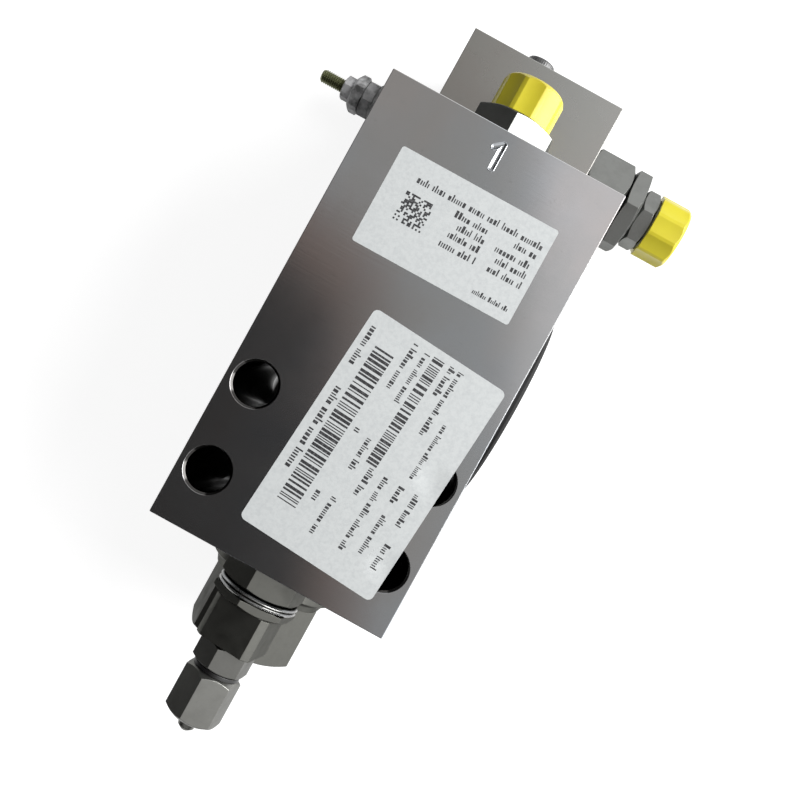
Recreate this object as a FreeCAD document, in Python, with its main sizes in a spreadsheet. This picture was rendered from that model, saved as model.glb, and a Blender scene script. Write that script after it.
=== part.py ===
"""Load-holding valve block for a hydraulic motor, with a brake valve, port fittings and caps.

Millimetres. The origin is the centre of the motor port on the ground motor face.
+Z points away from the motor, +Y towards the brake valve, +X towards the side port.
"""
import FreeCAD
import Part
import Sketcher
import math
import os

V = FreeCAD.Vector

# Driving sizes, one cell each: alias, value.
DRIVING = [
    # Main block
    ("block_width", 75.0),
    ("block_thick", 85.0),
    ("block_foot", 32.0),
    ("block_head", 110.9),
    ("edge_break", 0.4),
    ("block_edge", 0.2),
    ("bolt_hole_dia", 13.0),
    ("bolt_span_wide", 57.15),
    ("bolt_span_long", 27.76),
    ("hole_chamfer", 0.7),
    ("motor_port_dia", 25.0),
    ("motor_port_deep", 8.5),
    ("motor_feed_dia", 16.0),
    ("face_groove_bore", 31.0),
    ("face_groove_width", 4.2),
    ("face_groove_deep", 2.7),
    ("main_axis_up", 23.5),
    ("relief_axis_up", 61.0),
    ("drain_axis_up", 65.0),
    ("side_port_along", 44.0),
    ("side_port_up", 42.5),
    ("side_port_dia", 25.0),
    ("side_port_deep", 48.0),
    ("side_feed_dia", 10.0),
    ("side_feed_deep", 55.5),
    ("flange_tap_dia", 10.4),
    ("flange_tap_deep", 19.0),
    ("drill_flat_dia", 1.0),
    # Clearances
    ("thread_gap", 0.05),
    ("running_gap", 0.03),
    ("free_gap", 0.35),
    ("face_gap", 0.1),
    # Small details that several pieces share
    ("thread_runout", 0.5),
    ("thread_lead", 1.2),
    ("fine_chamfer", 0.6),
    ("overrun", 1.0),
    ("merge_depth", 0.5),
    ("tap_runout", 2.0),
    ("groove_width", 0.8),
    ("groove_depth", 0.6),
    ("groove_pitch", 4.0),
    ("cone_deep", 5.0),
    ("stub_lip", 1.6),
    # Main bore and spool
    ("spool_dia", 22.0),
    ("gallery_dia", 27.0),
    ("motor_gallery_back", 8.0),
    ("motor_gallery_front", 15.0),
    ("side_gallery_half", 8.0),
    ("spool_bore_end", 84.0),
    ("pilot_dia", 10.0),
    ("pilot_bore_end", 100.0),
    ("orifice_thread_dia", 6.0),
    ("spool_back", 19.0),
    ("spool_front", 78.0),
    ("spool_waist_dia", 19.2),
    ("spool_taper_long", 3.0),
    ("spool_groove_start", 6.0),
    ("piston_groove_start", 5.0),
    ("check_bore_dia", 15.0),
    ("check_seat_along", 18.0),
    ("check_seat_dia", 11.0),
    ("spool_core_end", 56.0),
    ("spool_port_dia", 6.0),
    ("check_port_along", 11.4),
    ("check_guide_back", 8.0),
    ("check_hollow_dia", 9.4),
    ("check_hollow_end", 7.0),
    ("check_nose_dia", 8.0),
    ("check_retainer_thick", 3.0),
    ("check_retainer_bore", 5.0),
    ("check_spring_dia", 7.4),
    ("check_spring_wire", 1.2),
    ("pilot_piston_end", 96.0),
    ("orifice_back", 102.0),
    ("orifice_front", 107.0),
    ("orifice_dia", 1.4),
    # Main plug
    ("plug_thread_dia", 36.0),
    ("plug_thread_long", 16.0),
    ("plug_collar_dia", 45.0),
    ("plug_collar_long", 12.5),
    ("plug_flare_long", 3.6),
    ("plug_flare_step", 1.3),
    ("plug_flare_dia", 41.2),
    ("plug_neck_dia", 39.2),
    ("plug_hex", 35.0),
    ("plug_reach", 38.6),
    ("plug_chamber_dia", 24.0),
    ("plug_floor_thick", 7.6),
    ("main_spring_dia", 16.6),
    ("main_spring_wire", 3.2),
    ("main_seat_thick", 4.0),
    ("main_seat_stem", 7.0),
    ("main_seat_stem_dia", 11.0),
    ("main_seal_wire", 2.4),
    # Relief cartridge
    ("relief_thread_dia", 20.0),
    ("relief_thread_long", 14.0),
    ("relief_shank_dia", 18.0),
    ("relief_gallery_dia", 24.0),
    ("relief_gallery_back", 6.0),
    ("relief_gallery_front", 2.0),
    ("relief_nose_dia", 12.0),
    ("relief_nose_end", 6.0),
    ("relief_inlet_dia", 9.0),
    ("relief_inlet_end", 14.0),
    ("relief_inlet_along", 9.0),
    ("relief_drill_dia", 7.0),
    ("relief_hex", 24.0),
    ("relief_hex_long", 9.8),
    ("relief_ring_dia", 26.4),
    ("relief_ring_thick", 2.7),
    ("bonnet_thread_dia", 19.0),
    ("bonnet_thread_long", 9.5),
    ("bonnet_hex_long", 2.9),
    ("bonnet_flat_long", 13.4),
    ("bonnet_flats", 19.0),
    ("bonnet_round_dia", 24.0),
    ("relief_chamber_dia", 16.0),
    ("relief_chamber_start", 16.0),
    ("relief_guide_dia", 10.0),
    ("relief_seat_dia", 8.4),
    ("relief_seat_long", 6.5),
    ("relief_seat_bore", 5.0),
    ("relief_outlet_dia", 3.2),
    ("relief_tip_dia", 2.0),
    ("relief_flange_gap", 2.0),
    ("relief_plate_travel", 3.0),
    ("relief_flange_thick", 2.5),
    ("relief_flange_dia", 15.2),
    ("relief_pin_dia", 6.0),
    ("relief_pin_long", 4.0),
    ("relief_spring_dia", 11.6),
    ("relief_spring_wire", 2.5),
    ("relief_spring_long", 25.0),
    ("relief_screw_dia", 10.0),
    ("relief_screw_end", 78.0),
    ("relief_socket", 5.0),
    ("relief_socket_deep", 5.0),
    ("lock_nut_hex", 16.0),
    ("lock_nut_long", 8.3),
    ("cap_seal_dia", 15.4),
    ("cap_seal_thick", 1.2),
    ("cap_nut_long", 16.6),
    ("cap_nut_hollow", 12.5),
    ("cap_tip_dia", 6.2),
    ("cap_tip_long", 4.0),
    ("cap_tip_straight", 1.4),
    ("cap_tip_shoulder", 3.0),
    ("cap_tip_shoulder_dia", 5.1),
    ("cap_tip_flat_dia", 2.5),
    ("relief_seal_wire", 1.6),
    # Drain port fitting, on the head
    ("drain_thread_dia", 18.0),
    ("drain_thread_long", 13.0),
    ("drain_drill_dia", 6.0),
    ("drain_drill_end", 82.0),
    ("drain_hex", 24.0),
    ("drain_hex_long", 9.1),
    ("drain_stub_dia", 15.6),
    ("drain_stub_long", 10.0),
    ("drain_bore", 8.0),
    ("drain_cap_dia", 20.3),
    ("drain_cap_long", 11.7),
    ("cap_floor", 1.6),
    ("cap_flute_dia", 40.0),
    ("cap_flute_out", 19.4),
    ("cap_round", 1.2),
    ("drain_seal_wire", 1.5),
    # Brake valve block
    ("brake_half_wide", 27.0),
    ("brake_thick", 49.0),
    ("brake_set_back", 1.0),
    ("brake_long", 35.0),
    ("screw_dia", 6.0),
    ("screw_head_dia", 10.0),
    ("screw_head_long", 6.4),
    ("screw_thread_long", 14.0),
    ("screw_socket", 5.0),
    ("screw_socket_deep", 3.0),
    ("screw_sink", 8.0),
    ("screw_1_across", -3.6),
    ("screw_1_up", 33.0),
    ("screw_2_across", -21.0),
    ("screw_2_up", 26.5),
    ("screw_3_across", 2.0),
    ("screw_3_up", 7.0),
    ("screw_4_across", 20.0),
    ("screw_4_up", 42.0),
    ("pilot_way_dia", 4.0),
    ("feed_way_across", 16.0),
    ("feed_way_up", 42.0),
    ("feed_way_dia", 5.0),
    ("drain_way_across", 4.0),
    ("joint_seal_dia", 7.6),
    ("joint_seal_wire", 1.8),
    ("relief_way_across", 10.0),
    ("relief_way_up", 53.2),
    ("expander_dia", 8.0),
    ("expander_long", 4.5),
    ("expander_sink", 0.2),
    ("expander_cup_dia", 4.8),
    ("expander_cup_deep", 1.6),
    # Brake port fitting, on the side
    ("brake_port_along", 14.7),
    ("brake_port_up", 19.0),
    ("brake_thread_dia", 22.0),
    ("brake_thread_long", 15.5),
    ("brake_feed_dia", 8.0),
    ("brake_feed_end", 2.0),
    ("side_hex", 27.0),
    ("side_hex_long", 16.2),
    ("swivel_gap", 0.3),
    ("swivel_long", 5.6),
    ("swivel_floor", 1.6),
    ("side_stub_dia", 20.0),
    ("side_stub_long", 3.2),
    ("side_bore", 10.0),
    ("reducer_neck_dia", 15.0),
    ("reducer_ring_dia", 18.4),
    ("reducer_ring_long", 0.7),
    ("reducer_hex", 19.0),
    ("reducer_hex_long", 5.6),
    ("reducer_stub_dia", 18.0),
    ("reducer_stub_long", 9.2),
    ("reducer_bore", 7.0),
    ("side_cap_dia", 22.8),
    ("side_cap_long", 11.2),
    ("side_seal_wire", 1.6),
    # Brake pressure adjuster, on the other side
    ("adjuster_along", 7.4),
    ("adjuster_up", 13.0),
    ("adjuster_thread_dia", 12.0),
    ("adjuster_thread_long", 10.0),
    ("adjuster_nose_dia", 9.6),
    ("adjuster_nose_end", 8.5),
    ("adjuster_way_dia", 4.0),
    ("adjuster_body_dia", 14.2),
    ("adjuster_body_long", 23.0),
    ("adjuster_hex", 12.3),
    ("adjuster_hex_long", 4.2),
    ("adjuster_nut_long", 4.5),
    ("adjuster_nut_thread", 3.0),
    ("brake_spool_dia", 5.0),
    ("brake_chamber_dia", 8.4),
    ("brake_chamber_start", 26.0),
    ("brake_flange_dia", 7.4),
    ("brake_flange_thick", 1.5),
    ("brake_spring_dia", 5.6),
    ("brake_spring_wire", 1.1),
    ("brake_spring_long", 18.0),
    ("brake_seat_thick", 2.0),
    ("brake_pin_dia", 3.0),
    ("brake_pin_long", 3.0),
    ("brake_pin_taper", 0.3),
    ("brake_spool_start", 1.0),
    ("supply_waist_half", 2.0),
    ("supply_hole_dia", 2.4),
    ("stud_dia", 5.0),
    ("stud_end", 71.2),
    ("stud_nut_hex", 8.0),
    ("stud_nut_long", 3.6),
    ("brake_seal_wire", 1.2),
    # Side port cover
    ("cover_dia", 66.0),
    ("cover_thick", 3.0),
    ("cover_web", 1.4),
    ("cover_rim", 4.0),
    ("cover_boss_long", 9.5),
    ("cover_boss_wall", 2.0),
    ("cover_round", 0.9),
    ("cover_ring_gap", 1.0),
]

# Corner directions of the hexagons, in degrees from the first crosswise axis towards +Z.
PLUG_TURN = 16
RELIEF_TURN = 44
BONNET_TURN = 58
SIDE_BODY_TURN = 30
SWIVEL_TURN = 33
REDUCER_TURN = 24
ADJUSTER_TURN = 12
ADJUSTER_NUT_TURN = 38
STUD_NUT_TURN = 30
DRAIN_TURN = 86
DRAIN_FLUTE_TURN = 9
SIDE_FLUTE_TURN = 24
DRAIN_CAP_FLUTES = 9
SIDE_CAP_FLUTES = 10

# Shares of a size, where the shape and not the size sets them.
BEVEL_CLEAR = 0.6
DRILL_POINT = 0.6
VALVE_CONE = 1.7
SEAL_FILL = 0.5
SEAL_INSET = 0.54
MAIN_TURNS = 5
BRAKE_TURNS = 6

doc = FreeCAD.newDocument("valve_block")
sheet = doc.addObject("Spreadsheet::Sheet", "Sizes")


class Size:
    """A length: the formula that the document keeps, and its value."""

    def __init__(self, text, value):
        self.text = text
        self.value = value

    def __add__(self, other):
        other = as_size(other)
        return Size("(%s + %s)" % (self.text, other.text), self.value + other.value)

    def __sub__(self, other):
        other = as_size(other)
        return Size("(%s - %s)" % (self.text, other.text), self.value - other.value)

    def __mul__(self, factor):
        return Size("(%s * %s)" % (self.text, repr(float(factor))), self.value * factor)

    def __truediv__(self, factor):
        return Size("(%s / %s)" % (self.text, repr(float(factor))), self.value / factor)

    def __neg__(self):
        return Size("(0 - %s)" % self.text, -self.value)

    __radd__ = __add__

    def __rsub__(self, other):
        return as_size(other) - self


def as_size(number):
    if isinstance(number, Size):
        return number
    return Size(repr(float(number)), float(number))


def fill_sheet():
    """Write the driving sizes to the sheet and return them by name."""
    sizes = {}
    for row, (alias, value) in enumerate(DRIVING, start=1):
        cell = "A%d" % row
        sheet.set(cell, str(value))
        sheet.setAlias(cell, alias)
        sizes[alias] = Size("Sizes.%s" % alias, value)
    doc.recompute()
    return sizes


S = fill_sheet()
DIRECTION_ANGLE = {"+Y": 0, "-Y": 180, "+Z": 90, "-Z": 270, "+X": 0, "-X": 180}
BODY_TURN = {
    "+X": (V(0, 0, 1), 0),
    "-X": (V(0, 0, 1), 180),
    "+Y": (V(0, 0, 1), 90),
    "-Y": (V(0, 0, 1), -90),
    "+Z": (V(0, 1, 0), -90),
}
CROSSWISE = ("+Y", "-Y", "+Z", "-Z")


def new_body(node):
    body = doc.addObject("PartDesign::Body", node)
    body.Label = node
    return body


def origin_plane(body, role):
    return next(item for item in body.Origin.OriginFeatures if item.Role == role)


def new_sketch(body, name, role, offset, angle):
    """A sketch on an origin plane, moved by offset (in the plane's axes) and turned."""
    sketch = body.newObject("Sketcher::SketchObject", name)
    sketch.AttachmentSupport = [(origin_plane(body, role), "")]
    sketch.MapMode = "FlatFace"
    sizes = [as_size(value) for value in offset]
    base = V(*[size.value for size in sizes])
    sketch.AttachmentOffset = FreeCAD.Placement(base, FreeCAD.Rotation(V(0, 0, 1), angle))
    for letter, size in zip("xyz", sizes):
        sketch.setExpression("AttachmentOffset.Base." + letter, size.text)
    return sketch


def bore_sketch(body, name, mouth, direction, lean=0):
    """A sketch whose X axis starts at the mouth and runs along the direction."""
    x, y, z = mouth
    angle = DIRECTION_ANGLE[direction] + lean
    if direction in ("+X", "-X"):
        return new_sketch(body, name, "XY_Plane", (x, y, z), angle)
    return new_sketch(body, name, "YZ_Plane", (y, z, x), angle)


def bind(sketch, kind, geometry, point, size):
    """Hold one coordinate of a point: on the axis if it is zero, else by its formula."""
    size = as_size(size)
    if abs(size.value) < 1e-9:
        axis = -2 if kind == "DistanceX" else -1
        sketch.addConstraint(Sketcher.Constraint("PointOnObject", geometry, point, axis))
        return
    held = Sketcher.Constraint(kind, -1, 1, geometry, point, size.value)
    index = sketch.addConstraint(held)
    sketch.setExpression("Constraints[%d]" % index, size.text)


def draw_profile(sketch, points):
    """A closed line through points given as (along, out)."""
    corners = [V(as_size(a).value, as_size(b).value, 0) for a, b in points]
    count = len(corners)
    for index in range(count):
        sketch.addGeometry(Part.LineSegment(corners[index], corners[(index + 1) % count]))
    for index in range(count):
        meet = Sketcher.Constraint("Coincident", index, 2, (index + 1) % count, 1)
        sketch.addConstraint(meet)
    for index, (along, out) in enumerate(points):
        bind(sketch, "DistanceX", index, 1, along)
        bind(sketch, "DistanceY", index, 1, out)


def stepped(steps, core=0):
    """The half section of a stepped shape, from (start, end, radius at start, radius at end)."""
    points = []
    for start, end, first, last in steps:
        points.append((start, first))
        points.append((end, last))
    tidy = [points[0]]
    for along, out in points[1:]:
        near = abs(as_size(along).value - as_size(tidy[-1][0]).value) < 1e-6
        if near and abs(as_size(out).value - as_size(tidy[-1][1]).value) < 1e-6:
            continue
        tidy.append((along, out))
    return [(tidy[0][0], core)] + tidy + [(tidy[-1][0], core)]


def turn_on(body, name, steps, core=0):
    """Add a turned, stepped shape about the body's X axis."""
    sketch = new_sketch(body, name + "_profile", "XY_Plane", (0, 0, 0), 0)
    draw_profile(sketch, stepped(steps, core))
    return revolve(body, "PartDesign::Revolution", name, sketch)


def revolve(body, kind, name, sketch):
    feature = body.newObject(kind, name)
    feature.Profile = sketch
    feature.ReferenceAxis = (sketch, ["H_Axis"])
    feature.Angle = 360
    body.Tip = feature
    return feature


def bore(body, name, mouth, direction, steps, lean=0, core=0):
    """Cut a turned, stepped hole that starts at the mouth."""
    sketch = bore_sketch(body, name + "_profile", mouth, direction, lean)
    draw_profile(sketch, stepped(steps, core))
    return revolve(body, "PartDesign::Groove", name, sketch)


def prism(body, name, across, start, length, turn, sides=6):
    """Pad a regular prism about the body's X axis, its first corner at the turn."""
    sketch = new_sketch(body, name + "_section", "YZ_Plane", (0, 0, start), turn)
    radius = across.value / 2 / math.cos(math.pi / sides)
    step = 2 * math.pi / sides
    corners = [V(radius * math.cos(i * step), radius * math.sin(i * step), 0) for i in range(sides)]
    for index in range(sides):
        sketch.addGeometry(Part.LineSegment(corners[index], corners[(index + 1) % sides]))
    ring = sketch.addGeometry(Part.Circle(V(0, 0, 0), V(0, 0, 1), radius), True)
    for index in range(sides):
        meet = Sketcher.Constraint("Coincident", index, 2, (index + 1) % sides, 1)
        sketch.addConstraint(meet)
        sketch.addConstraint(Sketcher.Constraint("PointOnObject", index, 1, ring))
    for index in range(1, sides):
        sketch.addConstraint(Sketcher.Constraint("Equal", 0, index))
    sketch.addConstraint(Sketcher.Constraint("Coincident", ring, 3, -1, 1))
    sketch.addConstraint(Sketcher.Constraint("PointOnObject", 0, 1, -1))
    index = sketch.addConstraint(Sketcher.Constraint("Diameter", ring, 2 * radius))
    sketch.setExpression("Constraints[%d]" % index, "%s / cos(%s)" % (across.text, 180.0 / sides))
    pad = body.newObject("PartDesign::Pad", name)
    pad.Profile = sketch
    pad.Length = as_size(length).value
    pad.setExpression("Length", as_size(length).text)
    body.Tip = pad
    return pad


def bevel(body, name, across, at, inwards, steep=0.5, flat=0.95):
    """Turn the corners off one end of a hexagon, as a lathe does."""
    low = across * (flat / 2)
    high = across * BEVEL_CLEAR
    deep = (high - low) * (steep * inwards)
    sketch = new_sketch(body, name + "_profile", "XY_Plane", (0, 0, 0), 0)
    draw_profile(sketch, [(at, low), (at, high), (at + deep, high)])
    return revolve(body, "PartDesign::Groove", name, sketch)


def seat(body, place, direction):
    """Set a body's X axis along a direction and its origin at a place."""
    sizes = [as_size(value) for value in place]
    base = V(*[size.value for size in sizes])
    axis, angle = BODY_TURN[direction]
    body.Placement = FreeCAD.Placement(base, FreeCAD.Rotation(axis, angle))
    for letter, size in zip("xyz", sizes):
        body.setExpression("Placement.Base." + letter, size.text)


def ring_seal(node, bore_radius, wire, place, direction):
    """An O-ring about an axis, its inside just clear of what it sits on."""
    body = new_body(node)
    sketch = new_sketch(body, node + "_section", "XY_Plane", (0, 0, 0), 0)
    middle = bore_radius + wire / 2
    sketch.addGeometry(Part.Circle(V(wire.value / 2, middle.value, 0), V(0, 0, 1), wire.value / 2))
    bind(sketch, "DistanceX", 0, 3, wire / 2)
    bind(sketch, "DistanceY", 0, 3, middle)
    index = sketch.addConstraint(Sketcher.Constraint("Diameter", 0, wire.value))
    sketch.setExpression("Constraints[%d]" % index, wire.text)
    revolve(body, "PartDesign::Revolution", node + "_ring", sketch)
    seat(body, place, direction)
    return body


def coil_spring(node, middle_dia, wire, length, turns, place, direction):
    """An open compression spring whose ends stand on its two seats."""
    body = new_body(node)
    sketch = new_sketch(body, node + "_section", "XY_Plane", (0, 0, 0), 0)
    middle = middle_dia / 2
    sketch.addGeometry(Part.Circle(V(wire.value / 2, middle.value, 0), V(0, 0, 1), wire.value / 2))
    bind(sketch, "DistanceX", 0, 3, wire / 2)
    bind(sketch, "DistanceY", 0, 3, middle)
    index = sketch.addConstraint(Sketcher.Constraint("Diameter", 0, wire.value))
    sketch.setExpression("Constraints[%d]" % index, wire.text)
    rise = length - wire
    coil = body.newObject("PartDesign::AdditiveHelix", node + "_coil")
    coil.Profile = sketch
    coil.ReferenceAxis = (sketch, ["H_Axis"])
    coil.Mode = 0
    coil.Pitch = rise.value / turns
    coil.Height = rise.value
    coil.setExpression("Pitch", (rise / turns).text)
    coil.setExpression("Height", rise.text)
    body.Tip = coil
    seat(body, place, direction)
    return body


def box_pad(body, name, low, high):
    """Pad a box between two corners."""
    sketch = new_sketch(body, name + "_outline", "XY_Plane", (0, 0, low[2]), 0)
    corners = [(low[0], low[1]), (high[0], low[1]), (high[0], high[1]), (low[0], high[1])]
    draw_profile(sketch, corners)
    pad = body.newObject("PartDesign::Pad", name)
    pad.Profile = sketch
    rise = as_size(high[2]) - as_size(low[2])
    pad.Length = rise.value
    pad.setExpression("Length", rise.text)
    body.Tip = pad
    doc.recompute()
    edges = body.newObject("PartDesign::Chamfer", name + "_edges")
    edges.Base = (pad, ["Edge%d" % (i + 1) for i in range(len(pad.Shape.Edges))])
    edges.Size = S["block_edge"].value
    edges.setExpression("Size", S["block_edge"].text)
    body.Tip = edges


# Places shared by the block and what is fitted in it.
half_wide = S["block_width"] / 2
foot = -S["block_foot"]
head = S["block_head"]
main_up = S["main_axis_up"]
relief_up = S["relief_axis_up"]
brake_head = head + S["brake_long"]
adjuster_y = head + S["adjuster_along"]
brake_port_y = head + S["brake_port_along"]
feed_x = -S["feed_way_across"]
screw_reach = S["brake_long"] + S["screw_thread_long"]
SCREW_PLACES = [
    # across, up, sunk
    (S["screw_1_across"], S["screw_1_up"], 0),
    (S["screw_2_across"], S["screw_2_up"], 0),
    (S["screw_3_across"], S["screw_3_up"], 0),
    (S["screw_4_across"], S["screw_4_up"], 1),
]
BOLT_SIGNS = [(-1, -1), (-1, 1), (1, -1), (1, 1)]
# The three ways that cross the joint face: pilot, supply and drain.
JOINT_WAYS = [(0, main_up), (feed_x, S["feed_way_up"]), (S["drain_way_across"], S["feed_way_up"])]


def make_main_block():
    body = new_body("main_block")
    box_pad(body, "billet", (-half_wide, foot, 0), (half_wide, head, S["block_thick"]))
    full = S["block_thick"]
    cut = S["hole_chamfer"]
    radius = S["bolt_hole_dia"] / 2
    for number, (sx, sy) in enumerate(BOLT_SIGNS, start=1):
        mouth = (S["bolt_span_wide"] * (sx / 2), S["bolt_span_long"] * (sy / 2), 0)
        steps = [(0, full - cut, radius, radius), (full - cut, full, radius, radius + cut)]
        bore(body, "bolt_hole_%d" % number, mouth, "+Z", steps)
    port = S["motor_port_dia"] / 2
    feed = S["motor_feed_dia"] / 2
    port_steps = [(0, S["motor_port_deep"], port, port), (S["motor_port_deep"], main_up, feed, feed)]
    bore(body, "motor_port", (0, 0, 0), "+Z", port_steps)
    groove_in = S["face_groove_bore"] / 2
    groove_out = groove_in + S["face_groove_width"]
    groove = [(0, S["face_groove_deep"], groove_out, groove_out)]
    bore(body, "face_groove", (0, 0, 0), "+Z", groove, core=groove_in)
    cut_main_bore(body)
    cut_relief_bore(body)
    cut_side_port(body)
    cut_head_ways(body)
    return body


def cut_main_bore(body):
    thread = S["plug_thread_dia"] / 2
    seal = S["main_seal_wire"]
    spool = S["spool_dia"] / 2
    gallery = S["gallery_dia"] / 2
    pilot = S["pilot_dia"] / 2
    orifice = S["orifice_thread_dia"] / 2
    base = S["block_foot"]
    thread_end = S["plug_thread_long"] + S["thread_runout"]
    back = base - S["motor_gallery_back"]
    front = base + S["motor_gallery_front"]
    side = base + S["side_port_along"]
    half = S["side_gallery_half"]
    end = base + S["spool_bore_end"]
    pilot_end = base + S["pilot_bore_end"]
    steps = [
        (0, seal, thread + seal, thread + S["thread_gap"]),
        (seal, thread_end, thread + S["thread_gap"], thread + S["thread_gap"]),
        (thread_end, back, spool, spool),
        (back, front, gallery, gallery),
        (front, side - half, spool, spool),
        (side - half, side + half, gallery, gallery),
        (side + half, end, spool, spool),
        (end, pilot_end, pilot, pilot),
        (pilot_end, base + head, orifice, orifice),
    ]
    bore(body, "main_bore", (0, foot, main_up), "+Y", steps)


def cut_relief_bore(body):
    thread = S["relief_thread_dia"] / 2
    seal = S["relief_seal_wire"]
    shank = S["relief_shank_dia"] / 2
    gallery = S["relief_gallery_dia"] / 2
    nose = S["relief_nose_dia"] / 2
    inlet = S["relief_inlet_dia"] / 2
    base = S["block_foot"]
    back = base - S["relief_gallery_back"]
    front = base + S["relief_gallery_front"]
    nose_end = base + S["relief_nose_end"] + S["thread_runout"]
    steps = [
        (0, seal, thread + seal, thread + S["thread_gap"]),
        (seal, S["relief_thread_long"], thread + S["thread_gap"], thread + S["thread_gap"]),
        (S["relief_thread_long"], back, shank + S["thread_gap"], shank + S["thread_gap"]),
        (back, front, gallery, gallery),
        (front, nose_end, nose + S["thread_gap"], nose + S["thread_gap"]),
        (nose_end, base + S["relief_inlet_end"], inlet, inlet),
    ]
    bore(body, "relief_bore", (0, foot, relief_up), "+Y", steps)
    drill = S["relief_drill_dia"] / 2
    rise = [(0, relief_up - main_up, drill, drill)]
    bore(body, "relief_inlet", (0, S["relief_inlet_along"], main_up), "+Z", rise)
    plug = S["expander_dia"] / 2
    way = S["feed_way_dia"] / 2
    reach = head + S["relief_gallery_back"] - S["overrun"]
    mouth = (-S["relief_way_across"], head, S["relief_way_up"])
    steps = [(0, S["expander_long"], plug, plug), (S["expander_long"], reach, way, way)]
    bore(body, "relief_way", mouth, "-Y", steps)


def cut_side_port(body):
    port = S["side_port_dia"] / 2
    feed = S["side_feed_dia"] / 2
    mouth = (half_wide, S["side_port_along"], S["side_port_up"])
    chamfer = S["hole_chamfer"]
    deep = S["side_port_deep"]
    steps = [(0, chamfer, port + chamfer, port), (chamfer, deep, port, port)]
    steps.append((deep, S["side_feed_deep"], feed, feed))
    bore(body, "side_port", mouth, "-X", steps)
    tap = S["flange_tap_dia"] / 2
    flat = S["drill_flat_dia"] / 2
    for number, (sy, sz) in enumerate(BOLT_SIGNS, start=1):
        along = S["side_port_along"] + S["bolt_span_long"] * (sy / 2)
        up = S["side_port_up"] + S["bolt_span_wide"] * (sz / 2)
        tap_end = S["flange_tap_deep"]
        steps = [(0, chamfer, tap + chamfer, tap), (chamfer, tap_end, tap, tap)]
        steps.append((tap_end, tap_end + tap * DRILL_POINT, tap, flat))
        bore(body, "flange_tap_%d" % number, (half_wide, along, up), "-X", steps)


def cut_head_ways(body):
    """Cut the drain port, the ways to the brake valve and the tapped holes in the head."""
    thread = S["drain_thread_dia"] / 2
    seal = S["drain_seal_wire"]
    drill = S["drain_drill_dia"] / 2
    deep = S["drain_thread_long"] + S["thread_runout"]
    steps = [
        (0, seal, thread + seal, thread + S["thread_gap"]),
        (seal, deep, thread + S["thread_gap"], thread + S["thread_gap"]),
        (deep, head - S["drain_drill_end"], drill, drill),
    ]
    bore(body, "drain_port", (0, head, S["drain_axis_up"]), "-Y", steps)
    way = S["feed_way_dia"] / 2
    long_way = [(0, head - S["side_port_along"] + way, way, way)]
    bore(body, "feed_way", (feed_x, head, S["feed_way_up"]), "-Y", long_way)
    climb = S["drain_axis_up"] - S["feed_way_up"]
    run = head - S["drain_drill_end"]
    slope = math.degrees(math.atan2(climb.value, run.value))
    slant_text = "sqrt(%s * %s + %s * %s)" % (climb.text, climb.text, run.text, run.text)
    slant = Size(slant_text, math.hypot(climb.value, run.value))
    leaning = [(0, slant, way, way)]
    mouth = (S["drain_way_across"], head, S["feed_way_up"])
    bore(body, "drain_way", mouth, "-Y", leaning, lean=-slope)
    tap = S["screw_dia"] / 2 + S["thread_gap"]
    for number, (across, up, sunk) in enumerate(SCREW_PLACES, start=1):
        deep = S["screw_thread_long"] + S["screw_sink"] * sunk + S["tap_runout"]
        bore(body, "screw_tap_%d" % number, (across, head, up), "-Y", [(0, deep, tap, tap)])


def make_brake_valve_block():
    body = new_body("brake_valve_block")
    half = S["brake_half_wide"]
    low = (-half, head, S["brake_set_back"])
    box_pad(body, "billet", low, (half, brake_head, S["brake_thick"]))
    hole = S["screw_dia"] / 2 + S["free_gap"]
    sink = S["screw_head_dia"] / 2 + S["free_gap"]
    for number, (across, up, sunk) in enumerate(SCREW_PLACES, start=1):
        steps = [(0, S["brake_long"], hole, hole)]
        if sunk:
            steps = [(0, S["screw_sink"], sink, sink), (S["screw_sink"], S["brake_long"], hole, hole)]
        bore(body, "screw_hole_%d" % number, (across, brake_head, up), "-Y", steps)
    cut_adjuster_bore(body)
    cut_brake_port(body)
    groove = S["joint_seal_dia"] / 2 + S["joint_seal_wire"] + S["thread_gap"]
    deep = S["joint_seal_wire"]
    way = S["pilot_way_dia"] / 2
    reaches = [S["brake_port_along"], S["adjuster_along"], S["adjuster_along"]]
    for number, ((across, up), reach) in enumerate(zip(JOINT_WAYS, reaches), start=1):
        steps = [(0, deep, groove, groove), (deep, reach, way, way)]
        bore(body, "joint_way_%d" % number, (across, head, up), "+Y", steps)
    plug = S["expander_dia"] / 2
    top = S["feed_way_up"] - S["brake_set_back"]
    steps = [(0, S["expander_long"], plug, plug), (S["expander_long"], top, way, way)]
    bore(body, "supply_way", (feed_x, adjuster_y, S["brake_set_back"]), "+Z", steps)
    return body


def cut_adjuster_bore(body):
    thread = S["adjuster_thread_dia"] / 2
    seal = S["brake_seal_wire"]
    nose = S["adjuster_nose_dia"] / 2 + S["thread_gap"]
    way = S["adjuster_way_dia"] / 2
    wide = S["brake_half_wide"]
    nose_end = wide - S["adjuster_nose_end"] + S["thread_runout"]
    steps = [
        (0, seal, thread + seal, thread + S["thread_gap"]),
        (seal, S["adjuster_thread_long"], thread + S["thread_gap"], thread + S["thread_gap"]),
        (S["adjuster_thread_long"], nose_end, nose, nose),
        (nose_end, wide * 2 - S["brake_thread_long"] + S["tap_runout"], way, way),
    ]
    bore(body, "adjuster_bore", (-wide, adjuster_y, S["adjuster_up"]), "+X", steps)


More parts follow.
